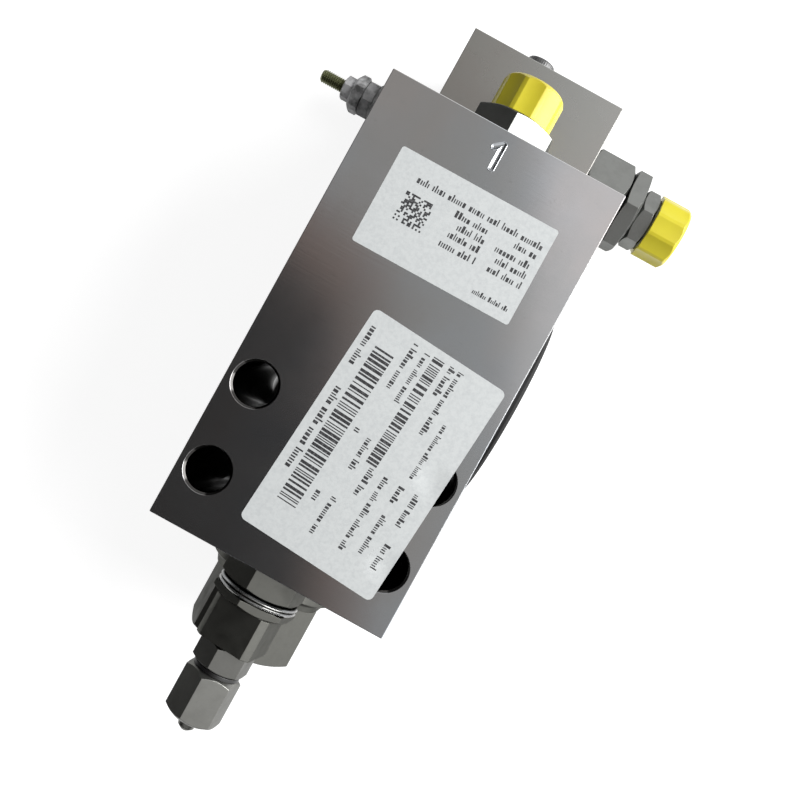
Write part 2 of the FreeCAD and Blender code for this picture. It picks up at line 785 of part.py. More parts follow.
def cut_brake_port(body):
    thread = S["brake_thread_dia"] / 2
    seal = S["side_seal_wire"]
    feed = S["brake_feed_dia"] / 2
    wide = S["brake_half_wide"]
    deep = S["brake_thread_long"] + S["thread_runout"]
    steps = [
        (0, seal, thread + seal, thread + S["thread_gap"]),
        (seal, deep, thread + S["thread_gap"], thread + S["thread_gap"]),
        (deep, wide + S["brake_feed_end"], feed, feed),
    ]
    bore(body, "brake_port", (wide, brake_port_y, S["brake_port_up"]), "-X", steps)


def make_screws():
    """Four socket head screws that hold the brake valve block."""
    screws = []
    for number, (across, up, sunk) in enumerate(SCREW_PLACES, start=1):
        body = new_body("block_screw_%d" % number)
        shank = S["screw_dia"] / 2
        top = S["screw_head_dia"] / 2
        cut = S["fine_chamfer"]
        rise = S["screw_head_long"]
        steps = [(0, screw_reach, shank, shank)]
        steps.append((screw_reach, screw_reach + rise - cut, top, top))
        steps.append((screw_reach + rise - cut, screw_reach + rise, top, top - cut))
        turn_on(body, "screw_%d_turned" % number, steps)
        mouth = (screw_reach + rise, 0, 0)
        socket = S["screw_socket"] / 2
        deep = S["screw_socket_deep"]
        bore(body, "screw_%d_socket" % number, mouth, "-X", [(0, deep, socket, socket)])
        start = head - S["screw_thread_long"] - S["screw_sink"] * sunk
        seat(body, (across, start, up), "+Y")
        screws.append(body)
    return screws


def make_main_plug():
    """The hexagon plug that holds the main spring."""
    body = new_body("main_plug")
    thread = S["plug_thread_dia"] / 2
    collar = S["plug_collar_dia"] / 2
    flare = S["plug_flare_dia"] / 2
    neck = S["plug_neck_dia"] / 2
    lead = S["thread_lead"]
    start = S["plug_thread_long"]
    collar_end = start + S["plug_collar_long"]
    flare_mid = collar_end + S["plug_flare_step"]
    flare_end = collar_end + S["plug_flare_long"]
    steps = [
        (0, lead, thread - lead, thread),
        (lead, start, thread, thread),
        (start, collar_end, collar, collar),
        (collar_end, flare_mid, collar, flare),
        (flare_mid, flare_end, flare, neck),
    ]
    turn_on(body, "plug_turned", steps)
    end = start + S["plug_reach"]
    root = flare_end - S["merge_depth"]
    prism(body, "plug_hexagon", S["plug_hex"], root, end - root, PLUG_TURN)
    bevel(body, "plug_bevel", S["plug_hex"], end, -1)
    chamber = S["plug_chamber_dia"] / 2
    bore(body, "plug_chamber", (0, 0, 0), "+X", [(0, end - S["plug_floor_thick"], chamber, chamber)])
    seat(body, (0, foot + start, main_up), "-Y")
    return body


def balance_groove(body, name, at, radius):
    """Cut a pressure balancing groove round a sliding piece."""
    outside = radius + S["overrun"]
    bore(body, name, (at, 0, 0), "+X", [(0, S["groove_width"], outside, outside)],
         core=radius - S["groove_depth"])


def make_spool():
    """The main spool: two waists over the galleries, and the check valve's bore inside."""
    body = new_body("main_spool")
    land = S["spool_dia"] / 2 - S["running_gap"]
    waist = S["spool_waist_dia"] / 2
    base = S["spool_back"]
    side = base + S["side_port_along"]
    half = S["side_gallery_half"]
    length = base + S["spool_front"]
    back = base - S["motor_gallery_back"]
    front = base + S["motor_gallery_front"]
    cut = S["edge_break"]
    taper = S["spool_taper_long"]
    steps = [
        (0, cut, land - cut, land),
        (cut, back, land, land),
        (back, front, waist, waist),
        (front, side - half - taper, land, land),
        (side - half - taper, side - half, land, waist + S["free_gap"]),
        (side - half, side + half, waist, waist),
        (side + half, length - cut, land, land),
        (length - cut, length, land, land - cut),
    ]
    turn_on(body, "spool_turned", steps)
    guide = S["check_bore_dia"] / 2
    way = S["check_seat_dia"] / 2
    seat_at = base + S["check_seat_along"]
    core = [(0, seat_at, guide, guide), (seat_at, base + S["spool_core_end"], way, way)]
    bore(body, "check_bore", (0, 0, 0), "+X", core)
    hole = S["spool_port_dia"] / 2
    reach = [(0, S["spool_dia"] / 2 + S["overrun"], hole, hole)]
    for number, direction in enumerate(CROSSWISE, start=1):
        near = (base + S["check_port_along"], 0, 0)
        bore(body, "check_port_%d" % number, near, direction, reach)
        bore(body, "side_way_%d" % number, (side, 0, 0), direction, reach)
    for number in range(3):
        at = side + half + S["spool_groove_start"] + S["groove_pitch"] * number
        balance_groove(body, "balance_groove_%d" % number, at, land)
    seat(body, (0, -base, main_up), "+Y")
    return body


def make_check_parts():
    """Poppet, spring and threaded retainer of the check valve inside the spool."""
    poppet = new_body("check_poppet")
    guide = S["check_bore_dia"] / 2 - S["running_gap"]
    nose = S["check_nose_dia"] / 2
    rest = S["check_seat_dia"] / 2 - S["running_gap"]
    seat_at = S["check_guide_back"] + S["check_seat_along"]
    cone_start = seat_at - (guide - rest)
    steps = [
        (0, cone_start, guide, guide),
        (cone_start, seat_at + rest - nose, guide, nose),
    ]
    turn_on(poppet, "poppet_turned", steps)
    hollow = S["check_hollow_dia"] / 2
    deep = S["check_guide_back"] + S["check_hollow_end"]
    bore(poppet, "poppet_hollow", (0, 0, 0), "+X", [(0, deep, hollow, hollow)])
    seat(poppet, (0, -S["check_guide_back"], main_up), "+Y")
    ring = new_body("check_retainer")
    outer = S["check_bore_dia"] / 2 - S["thread_gap"]
    hole = S["check_retainer_bore"] / 2
    turn_on(ring, "retainer_turned", [(0, S["check_retainer_thick"], outer, outer)], core=hole)
    seat(ring, (0, -S["spool_back"], main_up), "+Y")
    start = -S["spool_back"] + S["check_retainer_thick"]
    length = S["check_hollow_end"] - start
    coil_spring("check_spring", S["check_spring_dia"], S["check_spring_wire"], length, MAIN_TURNS,
                (0, start, main_up), "+Y")


def make_main_spring_parts():
    """The drilled seat against the spool's end and the spring in the plug."""
    thick = S["main_seat_thick"]
    start = foot + S["plug_thread_long"]
    seat_y = -S["spool_back"]
    body = new_body("main_spring_seat")
    disc = S["spool_dia"] / 2 - S["free_gap"]
    stem = S["main_seat_stem_dia"] / 2
    stem_end = thick + S["main_seat_stem"]
    steps = [(0, thick, disc, disc), (thick, stem_end, stem, stem - S["edge_break"])]
    turn_on(body, "seat_turned", steps)
    vent = S["check_retainer_bore"] / 2
    bore(body, "seat_vent", (0, 0, 0), "+X", [(0, stem_end, vent, vent)])
    seat(body, (0, seat_y, main_up), "-Y")
    floor = start - (S["plug_thread_long"] + S["plug_reach"] - S["plug_floor_thick"])
    length = (seat_y - thick) - floor
    coil_spring("main_spring", S["main_spring_dia"], S["main_spring_wire"], length, MAIN_TURNS,
                (0, seat_y - thick, main_up), "-Y")


def make_pilot_parts():
    """The pilot piston behind the spool and the orifice screw that damps it."""
    piston = new_body("pilot_piston")
    radius = S["pilot_dia"] / 2 - S["running_gap"]
    length = S["pilot_piston_end"] - S["spool_front"]
    cut = S["fine_chamfer"]
    steps = [(0, cut, radius - cut, radius), (cut, length - cut, radius, radius)]
    steps.append((length - cut, length, radius, radius - cut))
    turn_on(piston, "piston_turned", steps)
    for number in range(2):
        at = S["piston_groove_start"] + S["groove_pitch"] * number
        balance_groove(piston, "piston_groove_%d" % number, at, radius)
    seat(piston, (0, S["spool_front"], main_up), "+Y")
    screw = new_body("damping_orifice")
    outer = S["orifice_thread_dia"] / 2 - S["thread_gap"]
    length = S["orifice_front"] - S["orifice_back"]
    hole = S["orifice_dia"] / 2
    turn_on(screw, "orifice_turned", [(0, length, outer, outer)], core=hole)
    seat(screw, (0, S["orifice_back"], main_up), "+Y")


# The relief cartridge is laid out from the end of its nose, towards -Y.
relief_nose_y = S["relief_nose_end"]
relief_face = relief_nose_y - foot
relief_hex_end = relief_face + S["relief_hex_long"]
bonnet_face = relief_hex_end + S["relief_ring_thick"]
bonnet_end = bonnet_face + S["bonnet_hex_long"] + S["bonnet_flat_long"]
chamber_start = relief_nose_y + S["relief_chamber_start"]
bonnet_nose = relief_hex_end - S["bonnet_thread_long"]
relief_seat_end = S["relief_seat_long"] + S["thread_runout"]
flange_at = chamber_start + S["relief_flange_gap"]
relief_spring_start = flange_at + S["relief_flange_thick"]
relief_spring_end = relief_spring_start + S["relief_spring_long"]


def make_relief_body():
    body = new_body("relief_body")
    nose = S["relief_nose_dia"] / 2
    shank = S["relief_shank_dia"] / 2
    thread = S["relief_thread_dia"] / 2
    nose_long = S["relief_nose_end"] - S["relief_gallery_front"] + S["overrun"]
    thread_at = relief_face - S["relief_thread_long"] + S["thread_runout"]
    cut = S["fine_chamfer"]
    steps = [
        (0, cut, nose - cut, nose),
        (cut, nose_long, nose, nose),
        (nose_long, thread_at, shank, shank),
        (thread_at, relief_face, thread, thread),
    ]
    turn_on(body, "relief_shank", steps)
    prism(body, "relief_hexagon", S["relief_hex"], relief_face, S["relief_hex_long"], RELIEF_TURN)
    bevel(body, "relief_bevel", S["relief_hex"], relief_hex_end, -1)
    rest = S["relief_seat_dia"] / 2 + S["thread_gap"]
    guide = S["relief_guide_dia"] / 2
    chamber = S["relief_chamber_dia"] / 2
    inner = S["bonnet_thread_dia"] / 2 + S["thread_gap"]
    thread_start = bonnet_nose - S["thread_runout"]
    steps = [
        (0, relief_seat_end, rest, rest),
        (relief_seat_end, chamber_start, guide, guide),
        (chamber_start, thread_start, chamber, chamber),
        (thread_start, relief_hex_end, inner, inner),
    ]
    bore(body, "relief_core", (0, 0, 0), "+X", steps)
    hole = S["relief_outlet_dia"] / 2
    reach = [(0, shank + S["overrun"], hole, hole)]
    for number, direction in enumerate(CROSSWISE, start=1):
        mouth = (relief_seat_end + hole + S["fine_chamfer"], 0, 0)
        bore(body, "relief_outlet_%d" % number, mouth, direction, reach)
    seat(body, (0, relief_nose_y, relief_up), "-Y")


def make_relief_inside():
    """The seat sleeve, the poppet, its spring and the plate that the screw pushes."""
    sleeve = new_body("relief_seat")
    outer = S["relief_seat_dia"] / 2
    hole = S["relief_seat_bore"] / 2
    start = relief_seat_end - S["relief_seat_long"]
    turn_on(sleeve, "relief_seat_turned", [(0, S["relief_seat_long"], outer, outer)], core=hole)
    seat(sleeve, (0, relief_nose_y - start, relief_up), "-Y")
    poppet = new_body("relief_poppet")
    guide = S["relief_guide_dia"] / 2 - S["running_gap"]
    flange = S["relief_flange_dia"] / 2
    pin = S["relief_pin_dia"] / 2
    pin_tip = pin - S["fine_chamfer"]
    tip = S["relief_tip_dia"] / 2
    rest = hole - S["running_gap"]
    nose = (rest - tip) * VALVE_CONE
    slope_end = nose + (guide - rest) * VALVE_CONE
    flange_start = flange_at - relief_seat_end + nose
    thick = S["relief_flange_thick"]
    steps = [
        (0, nose, tip, rest),
        (nose, slope_end, rest, guide),
        (slope_end, flange_start, guide, guide),
        (flange_start, flange_start + thick, flange, flange),
        (flange_start + thick, flange_start + thick + S["relief_pin_long"], pin, pin_tip),
    ]
    turn_on(poppet, "relief_poppet_turned", steps)
    seat(poppet, (0, relief_nose_y - relief_seat_end + nose, relief_up), "-Y")
    coil_spring("relief_spring", S["relief_spring_dia"], S["relief_spring_wire"],
                S["relief_spring_long"], MAIN_TURNS,
                (0, relief_nose_y - relief_spring_start, relief_up), "-Y")
    plate = new_body("relief_spring_seat")
    pin_long = S["relief_pin_long"]
    steps = [(0, pin_long, pin_tip, pin), (pin_long, pin_long + thick, flange, flange)]
    turn_on(plate, "relief_plate_turned", steps)
    seat(plate, (0, relief_nose_y - relief_spring_end + pin_long, relief_up), "-Y")


def make_relief_adjuster():
    """Sealing ring, bonnet, adjusting screw, lock nut, seal and cap nut."""
    ring = new_body("relief_ring")
    outer = S["relief_ring_dia"] / 2
    inner = S["bonnet_thread_dia"] / 2 + S["free_gap"]
    thick = S["relief_ring_thick"]
    bead = thick / 4
    steps = [
        (0, bead, outer - bead, outer),
        (bead, bead * 2, outer, outer - bead),
        (bead * 2, bead * 3, outer - bead, outer),
        (bead * 3, thick, outer, outer - bead),
    ]
    turn_on(ring, "ring_turned", steps, core=inner)
    seat(ring, (0, relief_nose_y - relief_hex_end, relief_up), "-Y")

    bonnet = new_body("relief_bonnet")
    nose = S["bonnet_thread_dia"] / 2
    length = bonnet_face - bonnet_nose
    turn_on(bonnet, "bonnet_thread", [(0, length, nose, nose)])
    prism(bonnet, "bonnet_hexagon", S["relief_hex"], length, S["bonnet_hex_long"], RELIEF_TURN)
    hex_end = length + S["bonnet_hex_long"]
    bevel(bonnet, "bonnet_bevel", S["relief_hex"], hex_end, -1)
    flat_end = hex_end + S["bonnet_flat_long"]
    prism(bonnet, "bonnet_flats", S["bonnet_flats"], hex_end, S["bonnet_flat_long"], BONNET_TURN, 4)
    corner = S["bonnet_round_dia"] / 2
    outside = S["bonnet_flats"]
    trim = [(0, S["bonnet_flat_long"] + S["overrun"], outside, outside)]
    bore(bonnet, "bonnet_round", (hex_end, 0, 0), "+X", trim, core=corner)
    chamber = S["relief_chamber_dia"] / 2
    screw = S["relief_screw_dia"] / 2
    plate_end = relief_spring_end + S["relief_flange_thick"] + S["relief_plate_travel"]
    chamber_long = plate_end - bonnet_nose
    steps = [(0, chamber_long, chamber, chamber), (chamber_long, flat_end, screw, screw)]
    bore(bonnet, "bonnet_core", (0, 0, 0), "+X", steps)
    seat(bonnet, (0, relief_nose_y - bonnet_nose, relief_up), "-Y")

    stud = new_body("relief_adjusting_screw")
    radius = screw - S["running_gap"]
    start_y = relief_nose_y - relief_spring_end - S["relief_flange_thick"]
    length = S["relief_screw_end"] + start_y
    cut = S["edge_break"]
    steps = [(0, cut, radius - cut, radius), (cut, length - cut, radius, radius)]
    steps.append((length - cut, length, radius, radius - cut))
    turn_on(stud, "stud_turned", steps)
    socket = S["relief_socket"] / 2
    deep = S["relief_socket_deep"]
    bore(stud, "stud_socket", (length, 0, 0), "-X", [(0, deep, socket, socket)])
    seat(stud, (0, start_y, relief_up), "-Y")

    hexagon_nut("relief_lock_nut", S["lock_nut_hex"], S["lock_nut_long"], screw + S["running_gap"],
                RELIEF_TURN, (0, relief_nose_y - bonnet_end, relief_up), "-Y", flat=0.9)
    seal = new_body("relief_cap_seal")
    seal_at = bonnet_end + S["lock_nut_long"]
    outer = S["cap_seal_dia"] / 2
    thick = S["cap_seal_thick"]
    turn_on(seal, "cap_seal_turned", [(0, thick, outer, outer)], core=screw + S["free_gap"])
    seat(seal, (0, relief_nose_y - seal_at, relief_up), "-Y")
    make_cap_nut(seal_at + thick, screw)


def make_cap_nut(at, screw):
    """The hollow cap nut over the end of the adjusting screw, with its small tip."""
    body = new_body("relief_cap_nut")
    long = S["cap_nut_long"]
    prism(body, "cap_nut_hexagon", S["lock_nut_hex"], 0, long, RELIEF_TURN)
    bevel(body, "cap_nut_bevel", S["lock_nut_hex"], 0, 1, steep=0.75, flat=0.9)
    bevel(body, "cap_nut_crown", S["lock_nut_hex"], long, -1, steep=0.6, flat=0.82)
    tip = S["cap_tip_dia"] / 2
    shoulder = S["cap_tip_shoulder_dia"] / 2
    straight_end = long + S["cap_tip_straight"]
    shoulder_end = long + S["cap_tip_shoulder"]
    steps = [
        (long - S["merge_depth"], straight_end, tip, tip),
        (straight_end, shoulder_end, tip, shoulder),
        (shoulder_end, long + S["cap_tip_long"], shoulder, S["cap_tip_flat_dia"] / 2),
    ]
    turn_on(body, "cap_nut_tip", steps)
    hollow = screw + S["free_gap"]
    bore(body, "cap_nut_hollow", (0, 0, 0), "+X", [(0, S["cap_nut_hollow"], hollow, hollow)])
    seat(body, (0, relief_nose_y - at, relief_up), "-Y")


def hexagon_nut(node, across, length, hole, turn, place, direction, flat):
    """A hexagon nut with turned corners and a plain hole for its screw."""
    body = new_body(node)
    prism(body, node + "_hexagon", across, 0, length, turn)
    bevel(body, node + "_bevel_in", across, as_size(0), 1, flat=flat)
    bevel(body, node + "_bevel_out", across, length, -1, flat=flat)
    bore(body, node + "_hole", (0, 0, 0), "+X", [(0, length, hole, hole)])
    seat(body, place, direction)
    return body


def flute_cap(body, name, across, length, turn, flutes):
    """Cut the wide shallow grip flutes of a plastic cap with a polar pattern."""
    sketch = new_sketch(body, name + "_circle", "YZ_Plane", (0, 0, as_size(0)), turn)
    flute = S["cap_flute_dia"]
    at = across / 2 + S["cap_flute_out"]
    sketch.addGeometry(Part.Circle(V(at.value, 0, 0), V(0, 0, 1), flute.value / 2))
    bind(sketch, "DistanceX", 0, 3, at)
    bind(sketch, "DistanceY", 0, 3, 0)
    index = sketch.addConstraint(Sketcher.Constraint("Diameter", 0, flute.value))
    sketch.setExpression("Constraints[%d]" % index, flute.text)
    pocket = body.newObject("PartDesign::Pocket", name)
    pocket.Profile = sketch
    pocket.Length = length.value
    pocket.setExpression("Length", length.text)
    pocket.Reversed = True
    pattern = body.newObject("PartDesign::PolarPattern", name + "_ring")
    pattern.Originals = [pocket]
    axis = next(item for item in body.Origin.OriginFeatures if item.Role == "X_Axis")
    pattern.Axis = (axis, [""])
    pattern.Angle = 360
    pattern.Occurrences = flutes
    body.Tip = pattern
    pocket.Visibility = False


def plastic_cap(node, outer_dia, length, stub_dia, turn, flutes, place, direction):
    """A pull-off plastic cap with grip flutes and a flat closed end."""
    body = new_body(node)
    outer = outer_dia / 2
    cut = S["cap_round"]
    steps = [(0, length - cut, outer, outer), (length - cut, length, outer, outer - cut)]
    turn_on(body, node + "_turned", steps)
    inner = stub_dia / 2 + S["free_gap"]
    deep = length - S["cap_floor"]
    bore(body, node + "_hollow", (0, 0, 0), "+X", [(0, deep, inner, inner)])
    flute_cap(body, node + "_flutes", outer_dia, length, turn, flutes)
    seat(body, place, direction)
    return body


def make_drain_fitting():
    """The straight fitting on the head and its plastic cap."""
    body = new_body("drain_port_fitting")
    thread = S["drain_thread_dia"] / 2
    long = S["drain_thread_long"]
    lead = S["thread_lead"]
    turn_on(body, "drain_thread", [(0, lead, thread - lead, thread), (lead, long, thread, thread)])
    prism(body, "drain_hexagon", S["drain_hex"], long, S["drain_hex_long"], DRAIN_TURN)
    hex_end = long + S["drain_hex_long"]
    bevel(body, "drain_bevel", S["drain_hex"], hex_end, -1)
    stub = S["drain_stub_dia"] / 2
    stub_end = hex_end + S["drain_stub_long"]
    cut = S["edge_break"]
    steps = [(hex_end - S["merge_depth"], stub_end - cut, stub, stub)]
    steps.append((stub_end - cut, stub_end, stub, stub - cut))
    turn_on(body, "drain_stub", steps)
    way = S["drain_bore"] / 2
    cone = S["cone_deep"]
    mouth = stub - S["stub_lip"]
    steps = [(0, cone, mouth, way + S["fine_chamfer"]), (cone, stub_end, way, way)]
    bore(body, "drain_way", (stub_end, 0, 0), "-X", steps)
    seat(body, (0, head - long, S["drain_axis_up"]), "+Y")
    cap_at = head + S["drain_hex_long"] + S["free_gap"]
    plastic_cap("drain_port_cap", S["drain_cap_dia"], S["drain_cap_long"], S["drain_stub_dia"],
                DRAIN_FLUTE_TURN, DRAIN_CAP_FLUTES, (0, cap_at, S["drain_axis_up"]), "+Y")


# The brake port fitting is laid out from the inner end of its thread, towards +X.
side_face = S["brake_thread_long"]
side_hex_end = side_face + S["side_hex_long"]
swivel_at = side_hex_end + S["swivel_gap"]
swivel_end = swivel_at + S["swivel_long"]
side_start_x = S["brake_half_wide"] - S["brake_thread_long"]


def make_side_fitting():
    """The screwed-in body, the swivel nut, the reducer and its plastic cap."""
    axis = (brake_port_y, S["brake_port_up"])
    body = new_body("side_fitting_body")
    thread = S["brake_thread_dia"] / 2
    lead = S["thread_lead"]
    steps = [(0, lead, thread - lead, thread), (lead, side_face, thread, thread)]
    turn_on(body, "side_thread", steps)
    prism(body, "side_hexagon", S["side_hex"], side_face, S["side_hex_long"], SIDE_BODY_TURN)
    bevel(body, "side_bevel_in", S["side_hex"], side_face, 1, steep=0.7, flat=0.93)
    bevel(body, "side_bevel_out", S["side_hex"], side_hex_end, -1, steep=0.6)
    stub = S["side_stub_dia"] / 2
    stub_end = side_hex_end + S["side_stub_long"]
    turn_on(body, "side_stub", [(side_hex_end - S["merge_depth"], stub_end, stub, stub)])
    way = S["side_bore"] / 2
    bore(body, "side_way", (0, 0, 0), "+X", [(0, stub_end, way, way)])
    seat(body, (side_start_x,) + axis, "+X")

    nut = new_body("side_swivel_nut")
    prism(nut, "swivel_hexagon", S["side_hex"], 0, S["swivel_long"], SWIVEL_TURN)
    bevel(nut, "swivel_bevel_in", S["side_hex"], as_size(0), 1, steep=0.25, flat=0.97)
    bevel(nut, "swivel_bevel_out", S["side_hex"], S["swivel_long"], -1, steep=0.25, flat=0.97)
    inner = stub + S["thread_gap"]
    neck = S["reducer_neck_dia"] / 2 + S["free_gap"]
    floor_at = S["swivel_long"] - S["swivel_floor"]
    steps = [(0, floor_at, inner, inner), (floor_at, S["swivel_long"], neck, neck)]
    bore(nut, "swivel_bore", (0, 0, 0), "+X", steps)
    seat(nut, (side_start_x + swivel_at,) + axis, "+X")
    make_reducer(axis, stub_end)


def make_reducer(axis, stub_end):
    """The reducer that the swivel nut holds: flange, neck, ring, hexagon and stub."""
    body = new_body("side_reducer")
    flange = S["side_stub_dia"] / 2 - S["free_gap"]
    neck = S["reducer_neck_dia"] / 2
    ring = S["reducer_ring_dia"] / 2
    flange_long = swivel_end - S["swivel_floor"] - S["face_gap"] - stub_end
    ring_at = swivel_end - stub_end + S["face_gap"]
    ring_end = ring_at + S["reducer_ring_long"]
    steps = [(0, flange_long, flange, flange), (flange_long, ring_at, neck, neck)]
    steps.append((ring_at, ring_end, ring, ring))
    turn_on(body, "reducer_neck", steps)
    prism(body, "reducer_hexagon", S["reducer_hex"], ring_end, S["reducer_hex_long"], REDUCER_TURN)
    hex_end = ring_end + S["reducer_hex_long"]
    bevel(body, "reducer_bevel_in", S["reducer_hex"], ring_end, 1)
    bevel(body, "reducer_bevel_out", S["reducer_hex"], hex_end, -1)
    stub = S["reducer_stub_dia"] / 2
    end = hex_end + S["reducer_stub_long"]
    cut = S["edge_break"]
    steps = [(hex_end - S["merge_depth"], end - cut, stub, stub), (end - cut, end, stub, stub - cut)]
    turn_on(body, "reducer_stub", steps)
    way = S["reducer_bore"] / 2
    bore(body, "reducer_way", (0, 0, 0), "+X", [(0, end, way, way)])
    cone = [(0, S["cone_deep"], stub - S["stub_lip"], way + S["fine_chamfer"])]
    bore(body, "reducer_cone", (end, 0, 0), "-X", cone)
    seat(body, (side_start_x + stub_end,) + axis, "+X")
    cap_x = side_start_x + stub_end + hex_end + S["free_gap"]
    plastic_cap("side_port_cap", S["side_cap_dia"], S["side_cap_long"], S["reducer_stub_dia"],
                SIDE_FLUTE_TURN, SIDE_CAP_FLUTES, (cap_x,) + axis, "+X")


# The brake pressure adjuster is laid out from the end of its nose, towards -X.
adjuster_axis = (adjuster_y, S["adjuster_up"])
adjuster_face = S["brake_half_wide"] - S["adjuster_nose_end"]
adjuster_body_end = adjuster_face + S["adjuster_body_long"]
adjuster_hex_end = adjuster_body_end + S["adjuster_hex_long"]
brake_chamber_at = S["brake_chamber_start"] - S["adjuster_nose_end"]
brake_spring_at = brake_chamber_at + S["brake_flange_thick"]
brake_spring_stop = brake_spring_at + S["brake_spring_long"]
nose_x = -S["adjuster_nose_end"]


def make_brake_cartridge():
    """The brake cartridge's body, its spool, spring and spring seat."""
    body = new_body("brake_cartridge_body")
    nose = S["adjuster_nose_dia"] / 2
    thread = S["adjuster_thread_dia"] / 2
    outer = S["adjuster_body_dia"] / 2
    thread_at = adjuster_face - S["adjuster_thread_long"] + S["thread_runout"]
    cut = S["edge_break"]
    fine = S["fine_chamfer"]
    steps = [
        (0, fine, nose - fine, nose),
        (fine, thread_at, nose, nose),
        (thread_at, adjuster_face, thread, thread),
        (adjuster_face, adjuster_body_end - cut, outer, outer),
        (adjuster_body_end - cut, adjuster_body_end, outer, outer - cut),
    ]
    turn_on(body, "cartridge_turned", steps)
    across = S["adjuster_hex"]
    prism(body, "cartridge_hexagon", across, adjuster_body_end, S["adjuster_hex_long"], ADJUSTER_TURN)
    bevel(body, "cartridge_bevel", across, adjuster_hex_end, -1)
    spool = S["brake_spool_dia"] / 2
    chamber = S["brake_chamber_dia"] / 2
    steps = [(0, brake_chamber_at, spool, spool), (brake_chamber_at, adjuster_hex_end, chamber, chamber)]
    bore(body, "cartridge_core", (0, 0, 0), "+X", steps)
    hole = S["supply_hole_dia"] / 2
    supply = S["feed_way_across"] - S["adjuster_nose_end"]
    reach = [(0, nose + S["overrun"], hole, hole)]
    for number, direction in enumerate(CROSSWISE, start=1):
        bore(body, "supply_hole_%d" % number, (supply, 0, 0), direction, reach)
    seat(body, (nose_x,) + adjuster_axis, "-X")

    spindle = new_body("brake_spool")
    land = spool - S["running_gap"]
    flange = S["brake_flange_dia"] / 2
    thick = S["brake_flange_thick"]
    pin = S["brake_pin_dia"] / 2
    pin_tip = pin - S["brake_pin_taper"]
    pin_long = S["brake_pin_long"]
    waist_start = supply - S["supply_waist_half"]
    waist_end = supply + S["supply_waist_half"]
    flange_end = brake_chamber_at + thick
    steps = [
        (S["brake_spool_start"], waist_start, land, land),
        (waist_start, waist_end, land - cut, land - cut),
        (waist_end, brake_chamber_at, land, land),
        (brake_chamber_at, flange_end, flange, flange),
        (flange_end, flange_end + pin_long, pin, pin_tip),
    ]
    turn_on(spindle, "brake_spool_turned", steps)
    seat(spindle, (nose_x,) + adjuster_axis, "-X")
    coil_spring("brake_spring", S["brake_spring_dia"], S["brake_spring_wire"],
                S["brake_spring_long"], BRAKE_TURNS,
                (nose_x - brake_spring_at,) + adjuster_axis, "-X")

    plate = new_body("brake_spring_seat")
    thick = S["brake_seat_thick"]
    steps = [(0, pin_long, pin_tip, pin), (pin_long, pin_long + thick, flange, flange)]
    turn_on(plate, "brake_seat_turned", steps)
    seat(plate, (nose_x - brake_spring_stop + pin_long,) + adjuster_axis, "-X")
    make_brake_adjuster(nose_x - brake_spring_stop - thick)


def make_brake_adjuster(stud_x):
    """The end nut, the adjusting stud and its lock nut."""
    across = S["adjuster_hex"]
    screw = S["stud_dia"] / 2
    nut = new_body("brake_cartridge_nut")
    thread = S["brake_chamber_dia"] / 2 - S["thread_gap"]
    thread_long = S["adjuster_nut_thread"]
    nut_end = thread_long + S["adjuster_nut_long"]
    turn_on(nut, "end_nut_thread", [(0, thread_long, thread, thread)])
    prism(nut, "end_nut_hexagon", across, thread_long, S["adjuster_nut_long"], ADJUSTER_NUT_TURN)
    bevel(nut, "end_nut_bevel_in", across, thread_long, 1)
    bevel(nut, "end_nut_bevel_out", across, nut_end, -1, steep=0.8, flat=0.86)
    bore(nut, "end_nut_hole", (0, 0, 0), "+X", [(0, nut_end, screw, screw)])
    nut_x = nose_x - adjuster_hex_end + thread_long
    seat(nut, (nut_x,) + adjuster_axis, "-X")

    stud = new_body("brake_adjusting_screw")
    radius = screw - S["running_gap"]
    length = S["stud_end"] + stud_x
    cut = S["fine_chamfer"]
    steps = [(0, cut, radius - cut, radius), (cut, length - cut, radius, radius)]
    steps.append((length - cut, length, radius, radius - cut))
    turn_on(stud, "brake_stud_turned", steps)
    seat(stud, (stud_x,) + adjuster_axis, "-X")
    hexagon_nut("brake_lock_nut", S["stud_nut_hex"], S["stud_nut_long"], screw + S["running_gap"],
                STUD_NUT_TURN, (nut_x - nut_end,) + adjuster_axis, "-X", flat=0.9)


def make_flange_cover():
    """The plastic cover that is pushed into the side port."""
    body = new_body("flange_cover")
    boss = S["side_port_dia"] / 2 - S["free_gap"]
    deep = S["cover_boss_long"]
    outer = S["cover_dia"] / 2
    thick = S["cover_thick"]
    rim = S["cover_rim"]
    web = S["cover_web"]
    cut = S["cover_round"]
    lead = S["edge_break"]
    disc_at = deep + S["face_gap"]
    steps = [
        (0, lead, boss - lead, boss),
        (lead, disc_at, boss, boss),
        (disc_at, deep + thick - cut, outer, outer),
        (deep + thick - cut, deep + thick, outer, outer - cut),
    ]
    turn_on(body, "cover_turned", steps)
    hollow = boss - S["cover_boss_wall"]
    bore(body, "cover_hollow", (0, 0, 0), "+X", [(0, deep, hollow, hollow)])
    ring_gap = S["cover_ring_gap"]
    dish = [(0, thick - web, outer - rim, outer - rim - ring_gap)]
    bore(body, "cover_dish", (deep + thick, 0, 0), "-X", dish, core=boss + ring_gap)
    seat(body, (half_wide - deep, S["side_port_along"], S["side_port_up"]), "+X")


